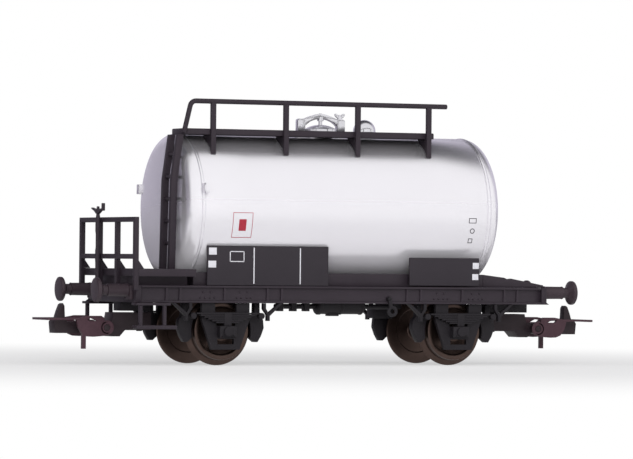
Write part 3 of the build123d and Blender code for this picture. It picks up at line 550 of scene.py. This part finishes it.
class Walkway(bpy.types.Operator):
    """Builds the walkway with its planks, the handrail and the ladder"""
    bl_idname = "tank_car.walkway"
    bl_label = "Walkway"

    def execute(self, context):
        plastic = moulded_polystyrene()
        low, high = (corner * 1000 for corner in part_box("walkway"))
        count = context.scene.tank_car_sizes.planks
        pitch = (high.y - low.y) / count
        # The board's top is lowered and planks with gaps between them lie on it
        gap, sunk, top_layer = 0.07, 0.12, 0.2
        board = moulding("walkway")
        edit(board)
        bpy.ops.mesh.select_all(action="DESELECT")
        bpy.ops.object.mode_set(mode="OBJECT")
        for vertex in board.data.vertices:
            vertex.select = vertex.co.z > mm(high.z - top_layer)
        bpy.ops.object.mode_set(mode="EDIT")
        bpy.ops.transform.translate(value=at(0, 0, -sunk))
        bpy.ops.object.mode_set(mode="OBJECT")
        plank = block((low.x + gap, low.y + gap, high.z - 2 * sunk),
                      (high.x - gap, low.y + pitch - gap, high.z), 0.05)
        planks = [copied(plank, shifted(0, pitch * i, 0)) for i in range(1, count)]
        walkway = join([board, plank] + planks)
        finish(walkway, "walkway_planks", plastic, "wagon", "frame_plastic", "walkway")
        posts = moulding("handrail", 0.07, lambda centre: centre.z > 49.95 or centre.x < -31)
        finish(join([posts, self.rail()]), "handrail_rod", plastic, "wagon", "frame_plastic", "handrail")
        stiles = moulding("ladder", 0.07, lambda centre: -8.5 < centre.y < -5.3)
        rung = turned([(-2.2, 0), (-2.2, 0.36), (2.2, 0.36), (2.2, 0)], at(0, -6.9, 0), (0, 1, 0), 24)
        places = ((-33.57, 40.3), (-34.15, 36.05), (-34.24, 31.8), (-34.24, 27.55), (-34.24, 23.3))
        rungs = [copied(rung, shifted(x, 0, z)) for x, z in places]
        bpy.data.objects.remove(rung)
        finish(join([stiles] + rungs), "ladder_rungs", plastic, "wagon", "frame_plastic", "ladder")
        return {"FINISHED"}

    def rail(self):
        """The handrail's rod: a round bar pulled along, bent down by a spin and drawn to its foot."""
        start, y, z, radius, bend = 22.6, -9.92, 50.52, 0.48, 1.2
        foot_x, foot_z, lean = -32.55, 44.39, radians(13.48)
        corner = foot_x + (z - foot_z) * sin(lean) / cos(lean)
        reach = bend * (1 - sin(lean)) / cos(lean)
        bpy.ops.object.select_all(action="DESELECT")
        bpy.ops.mesh.primitive_circle_add(vertices=24, radius=mm(radius), location=at(start, y, z),
                                          rotation=(0, pi / 2, 0))
        obj = placed(bpy.context.object)
        edit(obj)
        bpy.ops.mesh.extrude_region_move(TRANSFORM_OT_translate={"value": at(corner + reach - start, 0, 0)})
        bpy.ops.mesh.spin(steps=10, angle=pi / 2 - lean, center=at(corner + reach, y, z - bend),
                          axis=(0, 1, 0))
        drop = z - foot_z - bend * (1 - sin(lean))
        down = at(-drop * sin(lean) / cos(lean), 0, -drop)
        bpy.ops.mesh.extrude_region_move(TRANSFORM_OT_translate={"value": down})
        bpy.ops.mesh.select_all(action="SELECT")
        bpy.ops.mesh.fill_holes(sides=0)
        return soften(closed_up(obj), 0.12)


class Platform(bpy.types.Operator):
    """Builds the brakeman's platform, its railing, the hand brake and the footsteps"""
    bl_idname = "tank_car.platform"
    bl_label = "Platform"

    def execute(self, context):
        plastic = moulded_polystyrene()
        for node in ("platform_deck", "platform_railing", "footstep", "footstep_far"):
            finish(moulding(node, 0.08), node + "_moulding", plastic, "wagon", "frame_plastic", node)
        x, y, foot, thick = -44.87, 3.4, 14.4, 0.6
        # The column as (height, radius) points
        column = [(0, 0), (0, 0.5), (2.0, 0.5), (2.6, 0.44), (5.0, 0.46), (5.6, 0.5), (7.4, 0.5),
                  (8.0, 0.42), (10.5, 0.42), (11.2, 0.5), (13.2, 0.5), (13.9, 0.4), (14.4, 0.34),
                  (15.3, 0.34), (15.9, 0.24), (15.9, 0)]
        # The crank as (across, height) points: a handle stands on its near end, the other arm tapers
        crank = [(0.3, 29.45), (0.3, 30.9), (0.85, 30.9), (0.9, 29.95), (2.2, 29.75), (3.0, 29.6),
                 (3.8, 29.6), (5.2, 29.9), (6.5, 30.1), (6.5, 29.85), (5.0, 29.4), (3.9, 28.85),
                 (2.9, 28.85), (1.6, 29.4)]
        arms = plate([at(x - thick / 2, across, z) for across, z in crank], at(thick, 0, 0), 0.08)
        brake = join([turned(column, at(x, y, foot), (0, 0, 1), 32), arms])
        finish(brake, "brake_crank_turned", plastic, "wagon", "frame_plastic", "brake_crank")
        return {"FINISHED"}


class Underframe(bpy.types.Operator):
    """Builds the sole bars with ribs and rivets, headstocks, floor and saddle"""
    bl_idname = "tank_car.underframe"
    bl_label = "Underframe"

    def execute(self, context):
        plastic = moulded_polystyrene()
        for node in ("headstock_left", "headstock_right", "floor_plate", "tank_cradle", "end_stay_near",
                     "end_stay_far"):
            finish(moulding(node), node + "_moulding", plastic, "wagon", "frame_plastic", node)
        # Rows of rivets over each axle: height, and places along the bar from the axle
        rows = ((14.05, (-4.8, -3.3, 2.7, 4.3)), (13.0, (-5.4, -4.45, -3.4, -2.5, 2.1, 3.0, 4.15, 5.0)))
        radius = context.scene.tank_car_sizes.rivet * 1000
        head = [(0, 0), (0, radius), (0.14, radius * 0.85), (0.2, radius * 0.4), (0.22, 0)]
        rivet = turned(head, at(0, -12.4, 0), (0, -1, 0), 16, angle=60)
        wedge = ((42.0, 12.0), (43.8, 12.0), (43.3, 12.35), (42.0, 12.35))
        tip = plate([at(x, -13.0, z) for x, z in wedge], at(0, 0.5, 0), 0.05)
        pieces = [tip, copied(tip, ALONG)]
        for height, shifts in rows:
            for axle in (-AXLE_X, AXLE_X):
                pieces += [copied(rivet, shifted(axle + shift, 0, height)) for shift in shifts]
        bpy.data.objects.remove(rivet)
        near = join([moulding("solebar_near", 0.07)] + pieces)
        far = copied(near, ACROSS)
        for side, bar in (("near", near), ("far", far)):
            finish(bar, f"solebar_{side}_riveted", plastic, "wagon", "frame_plastic", "solebar_" + side)
        return {"FINISHED"}


class RunningGear(bpy.types.Operator):
    """Builds the axle guards with their boxes, the leaf springs and their hangers"""
    bl_idname = "tank_car.running_gear"
    bl_label = "Running gear"

    def execute(self, context):
        black = black_polystyrene()
        cover = turned([(0, 0), (0, 0.5), (0.3, 0.46), (0.4, 0.3), (0.43, 0)], at(AXLE_X, -13.56, AXLE_Z),
                       (0, -1, 0), 32)
        guard = join([moulding("axle_guard_right_near", 0), cover])
        four_corners(guard, "moulding", black, "wagon", "frame_plastic", "axle_guard")
        leaves = context.scene.tank_car_sizes.leaves
        top, first_half, last_half, drop = 10.17, 6.4, 1.6, 2.04
        inner, outer, play = 12.22, 13.36, 0.03  # the spring's faces across the car, the gap between leaves
        thick = drop / leaves
        pieces = []
        for leaf in range(leaves):
            half = first_half - leaf * (first_half - last_half) / leaves
            high = top - leaf * thick
            pieces.append(block((AXLE_X - half, -outer, high - thick + play),
                                (AXLE_X + half, -inner, high), 0.04, 1))
        pieces.append(block((AXLE_X - 0.75, -13.42, 7.65), (AXLE_X + 0.75, -inner, top), 0.06))
        eye = turned([(-0.6, 0), (-0.6, 0.5), (-0.52, 0.6), (0.52, 0.6), (0.6, 0.5), (0.6, 0)],
                     at(AXLE_X - 7.0, -12.82, 9.55), (0, -1, 0), 28)
        pieces += [eye, copied(eye, shifted(14.0, 0, 0))]
        four_corners(join(pieces), "leaves", black, "wagon", "frame_plastic", "leaf_spring")
        hangers = moulding("spring_hangers_right_near", 0.06)
        four_corners(hangers, "moulding", black, "wagon", "frame_plastic", "spring_hangers")
        return {"FINISHED"}


class Brakes(bpy.types.Operator):
    """Builds the brake blocks, the brake cylinder with its rod and relay box, and the ring lever"""
    bl_idname = "tank_car.brakes"
    bl_label = "Brakes"

    def execute(self, context):
        black = black_polystyrene()
        for node in ("brake_blocks_left_outer", "brake_blocks_left_inner", "brake_blocks_right_outer",
                     "brake_blocks_right_inner"):
            finish(moulding(node), node + "_moulding", black, "wagon", "frame_plastic", node)
        y, top = -5.0, 13.88
        drum = [(0, 0), (0.05, 1.2), (0.25, 1.8), (0.5, 2.0), (1.0, 2.0), (1.1, 1.88), (4.9, 1.88),
                (5.0, 2.0), (5.4, 2.0), (5.5, 1.88), (9.3, 1.88), (9.4, 2.0), (9.7, 2.0), (9.95, 1.8),
                (10.1, 1.2), (10.15, 0)]
        rod = [(0, 0), (0, 0.4), (0.1, 0.5), (24.9, 0.5), (25.0, 0.4), (25.0, 0)]
        pieces = [turned(drum, at(-3.0, y, 11.75), (1, 0, 0), 48),
                  turned(rod, at(-11.5, y, 11.35), (1, 0, 0), 24)]
        # (left, right, near, far, bottom, top) of the hangers, cradle, drain, relay box and bearer
        solids = [(x - 0.55, x + 0.55, y - 0.8, y + 0.8, 10.4, top) for x in (-10.4, -7.6, -4.9)]
        solids += [(-1.5, 5.65, y - 1.0, y + 1.0, 11.75, top), (-0.4, 1.8, y - 0.8, y + 0.8, 9.5, 10.5),
                   (12.5, 16.4, 1.0, 5.0, 9.0, 11.35), (13.65, 15.25, -5.6, 3.6, 11.0, top)]
        for left, right, near, far, bottom, high in solids:
            pieces.append(block((left, near, bottom), (right, far, high), 0.08))
        finish(join(pieces), "brake_cylinder_turned", black, "wagon", "frame_plastic", "brake_cylinder")
        ring = [(13.1, 0.55), (13.2, 0.45), (13.45, 0.45), (13.55, 0.55), (13.6, 0.75), (13.55, 0.97),
                (13.45, 1.07), (13.2, 1.07), (13.1, 0.97), (13.05, 0.75)]
        ball = [(12.47, 0), (12.47, 0.3), (12.7, 0.4), (13.3, 0.45), (13.65, 0.38), (13.8, 0.2), (13.87, 0)]
        arm = [(9.2, 11.1), (8.91, 13.0), (9.41, 13.0), (9.95, 11.4)]
        lever = [turned(ring, at(9.83, 0, 10.57), (0, -1, 0), 36, ring=True, angle=60),
                 turned(ball, at(9.16, 0, 13.0), (0, -1, 0), 28),
                 plate([at(x, -13.05, z) for x, z in arm], at(0, -0.55, 0), 0.08)]
        finish(join(lever), "ring_lever_turned", black, "wagon", "frame_plastic", "ring_lever")
        return {"FINISHED"}


class Buffers(bpy.types.Operator):
    """Builds the four buffers with bolted flanges, sleeves, plungers and round heads"""
    bl_idname = "tank_car.buffers"
    bl_label = "Buffers"

    def execute(self, context):
        y, z, out = -BUFFER_Y, BUFFER_Z, (1, 0, 0)
        sleeve = [(0.5, 0), (0.5, 1.25), (0.6, 1.3), (0.9, 1.3), (1.0, 1.24), (4.55, 1.2), (4.65, 1.25),
                  (4.78, 1.25)]
        plunger = [(4.8, 1.0), (5.8, 1.0), (6.05, 1.35), (6.35, 2.0)]
        head = [(6.45, 2.22), (6.55, 2.32), (6.7, 2.35), (7.0, 2.35), (7.14, 2.3), (7.22, 2.18), (7.26, 1.9),
                (7.3, 0)]
        pieces = [turned(sleeve + plunger + head, at(FRAME_END, y, z), out, 64, angle=30),
                  block((43.22, y - 1.6, 12.55), (43.82, y + 1.6, 15.25), 0.1)]
        bolt = turned([(0, 0), (0, 0.24), (0.14, 0.22), (0.18, 0.12), (0.18, 0)], at(43.8, y - 1.25, 12.9),
                      out, 12)
        pieces += [copied(bolt, shifted(0, over, rise)) for over in (0, 2.5) for rise in (0, 2.0)]
        bpy.data.objects.remove(bolt)
        four_corners(join(pieces), "turned", buffer_acetal(), "wagon", "buffer_plastic", "buffer")
        return {"FINISHED"}


class SignBoards(bpy.types.Operator):
    """Builds the blank sign boards with their white plates, frame and dividers"""
    bl_idname = "tank_car.boards"
    bl_label = "Sign boards"

    def execute(self, context):
        black, white = board_print(), white_print()
        # (left, right, bottom, top) of each white field, by board
        plates_left = ((-28.4, -26.8, 21.2, 22.55), (-28.5, -26.9, 18.75, 20.05))
        frame_lines = ((-24.1, -21.1, 21.75, 21.92), (-24.1, -21.1, 19.85, 20.02),
                       (-24.1, -23.93, 19.85, 21.92), (-21.27, -21.1, 19.85, 21.92))
        dividers = ((-19.2, -18.98, 15.7, 22.6), (-9.6, -9.38, 15.7, 22.6))
        plates_right = ((27.1, 28.4, 18.9, 20.1), (27.0, 28.3, 16.75, 17.9))
        fields = {"left": plates_left + frame_lines + dividers, "right": plates_right}
        proud, sunk = 0.02, 0.05
        for name, places in fields.items():
            board = moulding(f"sign_board_{name}_near", 0.05)
            ink = join([block((left, -BOARD_FACE - proud, bottom), (right, -BOARD_FACE + sunk, top))
                        for left, right, bottom, top in places])
            pairs = (("far", copied(board, ACROSS), copied(ink, ACROSS)), ("near", board, ink))
            for side, plain, lines in pairs:
                node = f"sign_board_{name}_{side}"
                finish(plain, node + "_moulding", black, "wagon", "sign_black", node)
                finish(lines, f"white_fields_{name}_{side}", white, "wagon", "sign_black")
        return {"FINISHED"}


class TankMarks(bpy.types.Operator):
    """Builds the red bordered label and the small marks on the tank's sides"""
    bl_idname = "tank_car.marks"
    bl_label = "Tank marks"

    def execute(self, context):
        panel = [(-24.0, 24.5), (-19.9, 24.5), (-19.9, 29.3), (-24.0, 29.3)]
        plain_block = [(-22.7, 25.8), (-21.2, 25.8), (-21.2, 28.0), (-22.7, 28.0)]
        square = [(25.6, 27.8), (27.2, 27.8), (27.2, 28.8), (25.6, 28.8)]
        circle = arc(26.5, 26.3, 0.5, 0, 345, 23)
        low_square = [(25.9, 23.95), (26.8, 23.95), (26.8, 24.85), (25.9, 24.85)]
        label = [self.patch(panel, 0.1), self.patch(plain_block)]
        small = [self.patch(square, 0.12), self.patch(circle, 0.14), self.patch(low_square, 0.12)]
        marks = (("label", red_print(), "tank_paint", label),
                 ("small_marks", board_print(), "sign_black", small))
        for name, ink, slot, patches in marks:
            near = join(patches)
            finish(copied(near, ACROSS), name + "_far", ink, "wagon", slot)
            finish(near, name + "_near", ink, "wagon", slot)
        return {"FINISHED"}

    def patch(self, outline, border=0, lift=0.024):
        """A thin patch, or only its border, pressed on the tank's near side and proud of it by the lift."""
        obj = drawn([at(x, -15.5, z) for x, z in outline])
        bpy.ops.mesh.edge_face_add()
        if border:
            bpy.ops.mesh.inset(thickness=mm(border))
            bpy.ops.mesh.delete(type="FACE")
        bpy.ops.mesh.select_all(action="SELECT")
        if len(outline) == 4:
            bpy.ops.mesh.subdivide(number_cuts=6)
        bpy.ops.object.mode_set(mode="OBJECT")
        if obj.data.polygons[0].normal.y > 0:
            obj.data.flip_normals()
        modify(obj, "SHRINKWRAP", target=bpy.data.objects["tank_skin"], wrap_method="PROJECT",
               use_project_y=True, use_negative_direction=True, use_positive_direction=True,
               offset=mm(lift), wrap_mode="ABOVE_SURFACE")
        return smooth(obj)


class Wheelsets(bpy.types.Operator):
    """Builds the turned wheels and axles"""
    bl_idname = "tank_car.wheelsets"
    bl_label = "Wheelsets"

    def execute(self, context):
        brass = browned_brass()
        back = [(7.2, 1.03), (7.2, 1.9), (7.35, 2.1), (7.35, 4.3), (7.2, 4.5), (7.2, 6.3)]
        flange = [(7.24, 6.45), (7.35, 6.55), (7.5, 6.6), (7.62, 6.55), (7.75, 6.4), (7.85, 6.0),
                  (7.95, 5.72)]
        tread = [(8.1, 5.6), (9.85, 5.54), (9.97, 5.5), (10.0, 5.4)]
        face = [(10.0, 4.75), (9.96, 4.65), (9.6, 4.5), (9.5, 4.3), (9.5, 2.1), (9.55, 1.95), (10.1, 1.9),
                (10.2, 1.8), (10.2, 1.03)]
        wheel = turned(back + flange + tread + face, at(AXLE_X, 0, AXLE_Z), (0, -1, 0), 128, ring=True,
                       angle=30)
        four_corners(wheel, "turned", brass, "wheelset_{}", "wheel_metal", "wheel")
        shaft = [(0, 1.0), (10.95, 1.0), (11.0, 0.95), (11.0, 0.55), (12.6, 0.55), (12.8, 0.1), (12.8, 0)]
        shaft = [(-along, out) for along, out in reversed(shaft)] + shaft[1:]
        right = turned(shaft, at(AXLE_X, 0, AXLE_Z), (0, 1, 0), 36)
        left = copied(right, ALONG)
        for end, axle in (("left", left), ("right", right)):
            finish(axle, f"axle_{end}_turned", brass, "wheelset_" + end, "wheel_metal", "axle_" + end)
        return {"FINISHED"}


class Couplers(bpy.types.Operator):
    """Builds the coupler mounts, shanks with hooks and lifting bows"""
    bl_idname = "tank_car.couplers"
    bl_label = "Couplers"

    def execute(self, context):
        black, nylon, reddish = black_polystyrene(), coupler_nylon(), bow_nylon()
        pin_shape = [(-4.38, 0), (-4.38, 0.5), (-4.3, 0.61), (4.3, 0.61), (4.38, 0.5), (4.38, 0)]
        # A raised ring round each end of the pin
        ring = [(4.35, 0.78), (4.39, 0.85), (4.4, 0.98), (4.4, 1.2), (4.39, 1.33), (4.35, 1.4), (4.2, 1.4),
                (4.2, 0.78)]
        for end, way in ENDS:
            centre = at(BOW_PIN_X * way, 0, BOW_PIN_Z)
            pin = turned(pin_shape, centre, (0, 1, 0), 28)
            near = turned(ring, centre, (0, -1, 0), 48, ring=True, angle=60)
            shank = join([moulding("coupler_shank_" + end, 0.1), pin])
            bow = join([moulding("coupler_bow_" + end, 0.1), near, copied(near, ACROSS)])
            finish(moulding("coupler_mount_" + end, 0.08), f"coupler_mount_{end}_moulding", black, "wagon",
                   "frame_plastic", "coupler_mount_" + end)
            finish(shank, f"coupler_shank_{end}_moulding", nylon, "coupler_" + end, "coupler_plastic",
                   "coupler_shank_" + end)
            finish(bow, f"coupler_bow_{end}_moulding", reddish, "bow_" + end, "coupler_plastic",
                   "coupler_bow_" + end)
        return {"FINISHED"}


class Stage(bpy.types.Operator):
    """Sets the pale floor, the soft lights, the white surroundings and the camera"""
    bl_idname = "tank_car.stage"
    bl_label = "Stage"

    def execute(self, context):
        scene = context.scene
        scene.view_settings.view_transform = "Standard"
        bpy.ops.object.select_all(action="DESELECT")
        bpy.ops.mesh.primitive_plane_add(size=30, location=(0, 0, 0))
        floor = context.object
        floor.name = "pale_floor"
        floor.data.materials.append(self.floor_card(scene.tank_car_paints.floor))
        self.surroundings(scene)
        for name, place, size, power in LAMPS:
            self.lamp(name, Vector(place), size, power)
        scene.camera = self.camera()
        return {"FINISHED"}

    def lamp(self, name, place, size, power):
        """A square soft light aimed at the middle of the car and kept out of reflections."""
        turn = (Vector(LAMP_AIM) - place).to_track_quat("-Z", "Y").to_euler()
        bpy.ops.object.light_add(type="AREA", location=place, rotation=turn)
        lamp = bpy.context.object
        lamp.name = name
        lamp.data.shape = "SQUARE"
        lamp.data.size = size
        lamp.data.energy = power
        lamp.visible_glossy = False

    def camera(self):
        """The camera at the photograph's place, angle and focal length."""
        azimuth, elevation = radians(CAMERA_AZIMUTH), radians(CAMERA_ELEVATION)
        roll = radians(CAMERA_ROLL)
        back = Vector((-sin(azimuth) * cos(elevation), -cos(azimuth) * cos(elevation), sin(elevation)))
        right = (-back).cross(Vector((0, 0, 1))).normalized()
        up = right.cross(-back)
        right, up = right * cos(roll) + up * sin(roll), up * cos(roll) - right * sin(roll)
        turn = Matrix((right, up, back)).transposed().to_euler()
        bpy.ops.object.camera_add(location=Vector(CAMERA_PLACE), rotation=turn)
        camera = bpy.context.object
        camera.name = "photo_camera"
        camera.data.sensor_width = SENSOR
        camera.data.lens = SENSOR * FOCAL_PIXELS / FRAME_PIXELS
        camera.data.clip_start = 0.01
        camera.data.clip_end = 100
        return camera

    def floor_card(self, tint):
        """Matt white card: it keeps the soft shadow near the car and fades into the white surroundings."""
        material = bpy.data.materials.new("white_card")
        material.use_nodes = True
        tree = material.node_tree
        tree.nodes.clear()
        place = add(tree, "ShaderNodeTexCoord").outputs["Object"]
        path = add(tree, "ShaderNodeLightPath").outputs
        fibre = add(tree, "ShaderNodeTexNoise", {"Vector": place, "Scale": per(6), "Detail": 3.0})
        shade = add(tree, "ShaderNodeMix", {"Factor": fibre.outputs["Fac"], COLOUR_B: tint,
                                            COLOUR_A: [value * 0.98 for value in tint]}, data_type="RGBA")
        card = add(tree, "ShaderNodeBsdfDiffuse", {"Color": shade.outputs[COLOUR_OUT]})
        # Gloss sees the floor behind the car as the grey low part of the studio
        depth = add(tree, "ShaderNodeSeparateXYZ", {0: place})
        behind = add(tree, "ShaderNodeMapRange",
                     {"Value": depth.outputs["Y"], "From Min": 0.0, "From Max": 0.06})
        rear = add(tree, "ShaderNodeMath", {0: behind.outputs[0], 1: path["Is Glossy Ray"]},
                   operation="MULTIPLY")
        white = add(tree, "ShaderNodeMix", {"Factor": rear.outputs[0], COLOUR_A: (1, 1, 1, 1),
                                            COLOUR_B: linear(FLOOR_BEHIND)}, data_type="RGBA")
        glow = add(tree, "ShaderNodeEmission", {"Color": white.outputs[COLOUR_OUT], "Strength": 1.0})
        # The glow takes over from the card away from the car, for the camera and in gloss
        away = add(tree, "ShaderNodeVectorMath", {0: place}, operation="LENGTH")
        fade = add(tree, "ShaderNodeMapRange",
                   {"Value": away.outputs["Value"], "From Min": 0.05, "From Max": 0.22, "To Min": 0.55,
                    "To Max": 1.0}, interpolation_type="SMOOTHSTEP")
        seen = add(tree, "ShaderNodeMath", {0: path["Is Camera Ray"], 1: path["Is Glossy Ray"]},
                   operation="MAXIMUM")
        share = add(tree, "ShaderNodeMath", {0: seen.outputs[0], 1: fade.outputs[0]}, operation="MULTIPLY")
        mix = add(tree, "ShaderNodeMixShader", {0: share.outputs[0], 1: card.outputs[0], 2: glow.outputs[0]})
        add(tree, "ShaderNodeOutputMaterial", {"Surface": mix.outputs[0]})
        return material

    def surroundings(self, scene):
        """White to the eye; in gloss, a studio white in front, dark above behind and grey low behind."""
        world = bpy.data.worlds.new("studio")
        scene.world = world
        world.use_nodes = True
        tree = world.node_tree
        tree.nodes.clear()
        direction = add(tree, "ShaderNodeTexCoord").outputs["Generated"]
        path = add(tree, "ShaderNodeLightPath").outputs
        split = add(tree, "ShaderNodeSeparateXYZ", {0: direction}).outputs
        front = add(tree, "ShaderNodeMapRange", {"Value": split["Y"], "From Min": 0.2, "From Max": -0.2},
                    interpolation_type="SMOOTHSTEP")
        rise = add(tree, "ShaderNodeMapRange", {"Value": split["Z"], "From Min": 0.35, "From Max": 0.78},
                   interpolation_type="SMOOTHSTEP")
        side = add(tree, "ShaderNodeMapRange", {"Value": split["X"], "From Min": -0.58, "From Max": -0.2})
        low = add(tree, "ShaderNodeMix", {"Factor": side.outputs[0], COLOUR_A: linear(STUDIO_LOW_LEFT),
                                          COLOUR_B: linear(STUDIO_LOW)}, data_type="RGBA")
        rear = add(tree, "ShaderNodeMix", {"Factor": rise.outputs[0], COLOUR_A: low.outputs[COLOUR_OUT],
                                           COLOUR_B: linear(STUDIO_HIGH)}, data_type="RGBA")
        studio = add(tree, "ShaderNodeMix", {"Factor": front.outputs[0], COLOUR_A: rear.outputs[COLOUR_OUT],
                                             COLOUR_B: linear(STUDIO_FRONT)}, data_type="RGBA")
        seen = add(tree, "ShaderNodeMix", {"Factor": path["Is Camera Ray"], COLOUR_B: (1, 1, 1, 1),
                                           COLOUR_A: studio.outputs[COLOUR_OUT]}, data_type="RGBA")
        # Full strength for the camera and in gloss, half as the light that fills the shadows
        mirror = add(tree, "ShaderNodeMath", {0: path["Is Camera Ray"], 1: path["Is Glossy Ray"]},
                     operation="MAXIMUM")
        level = add(tree, "ShaderNodeMapRange", {"Value": mirror.outputs[0], "To Min": 0.5, "To Max": 1.0})
        glow = add(tree, "ShaderNodeBackground",
                   {"Color": seen.outputs[COLOUR_OUT], "Strength": level.outputs[0]})
        add(tree, "ShaderNodeOutputWorld", {"Surface": glow.outputs[0]})


BUILDERS = (TankShell, TopFittings, Walkway, Platform, Underframe, RunningGear, Brakes, Buffers,
            SignBoards, TankMarks, Wheelsets, Couplers, Stage)


class TankCarPanel(bpy.types.Panel):
    """Lists the builders of the tank car in the sidebar"""
    bl_idname = "VIEW3D_PT_tank_car"
    bl_label = "Tank car"
    bl_space_type = "VIEW_3D"
    bl_region_type = "UI"
    bl_category = "Tank car"

    def draw(self, context):
        for group in (context.scene.tank_car_sizes, context.scene.tank_car_paints):
            for key in group.__annotations__:
                self.layout.prop(group, key)
        for builder in BUILDERS:
            self.layout.operator(builder.bl_idname)


CLASSES = (TankCarPaints, TankCarSizes) + BUILDERS + (TankCarPanel,)


def register():
    for item in CLASSES:
        bpy.utils.register_class(item)
    bpy.types.Scene.tank_car_paints = PointerProperty(type=TankCarPaints)
    bpy.types.Scene.tank_car_sizes = PointerProperty(type=TankCarSizes)


def unregister():
    del bpy.types.Scene.tank_car_sizes
    del bpy.types.Scene.tank_car_paints
    for item in reversed(CLASSES):
        bpy.utils.unregister_class(item)


def main():
    """Builds every piece in order."""
    register()
    for builder in BUILDERS:
        family, name = builder.bl_idname.split(".")
        getattr(getattr(bpy.ops, family), name)()


if __name__ == "__main__":
    main()
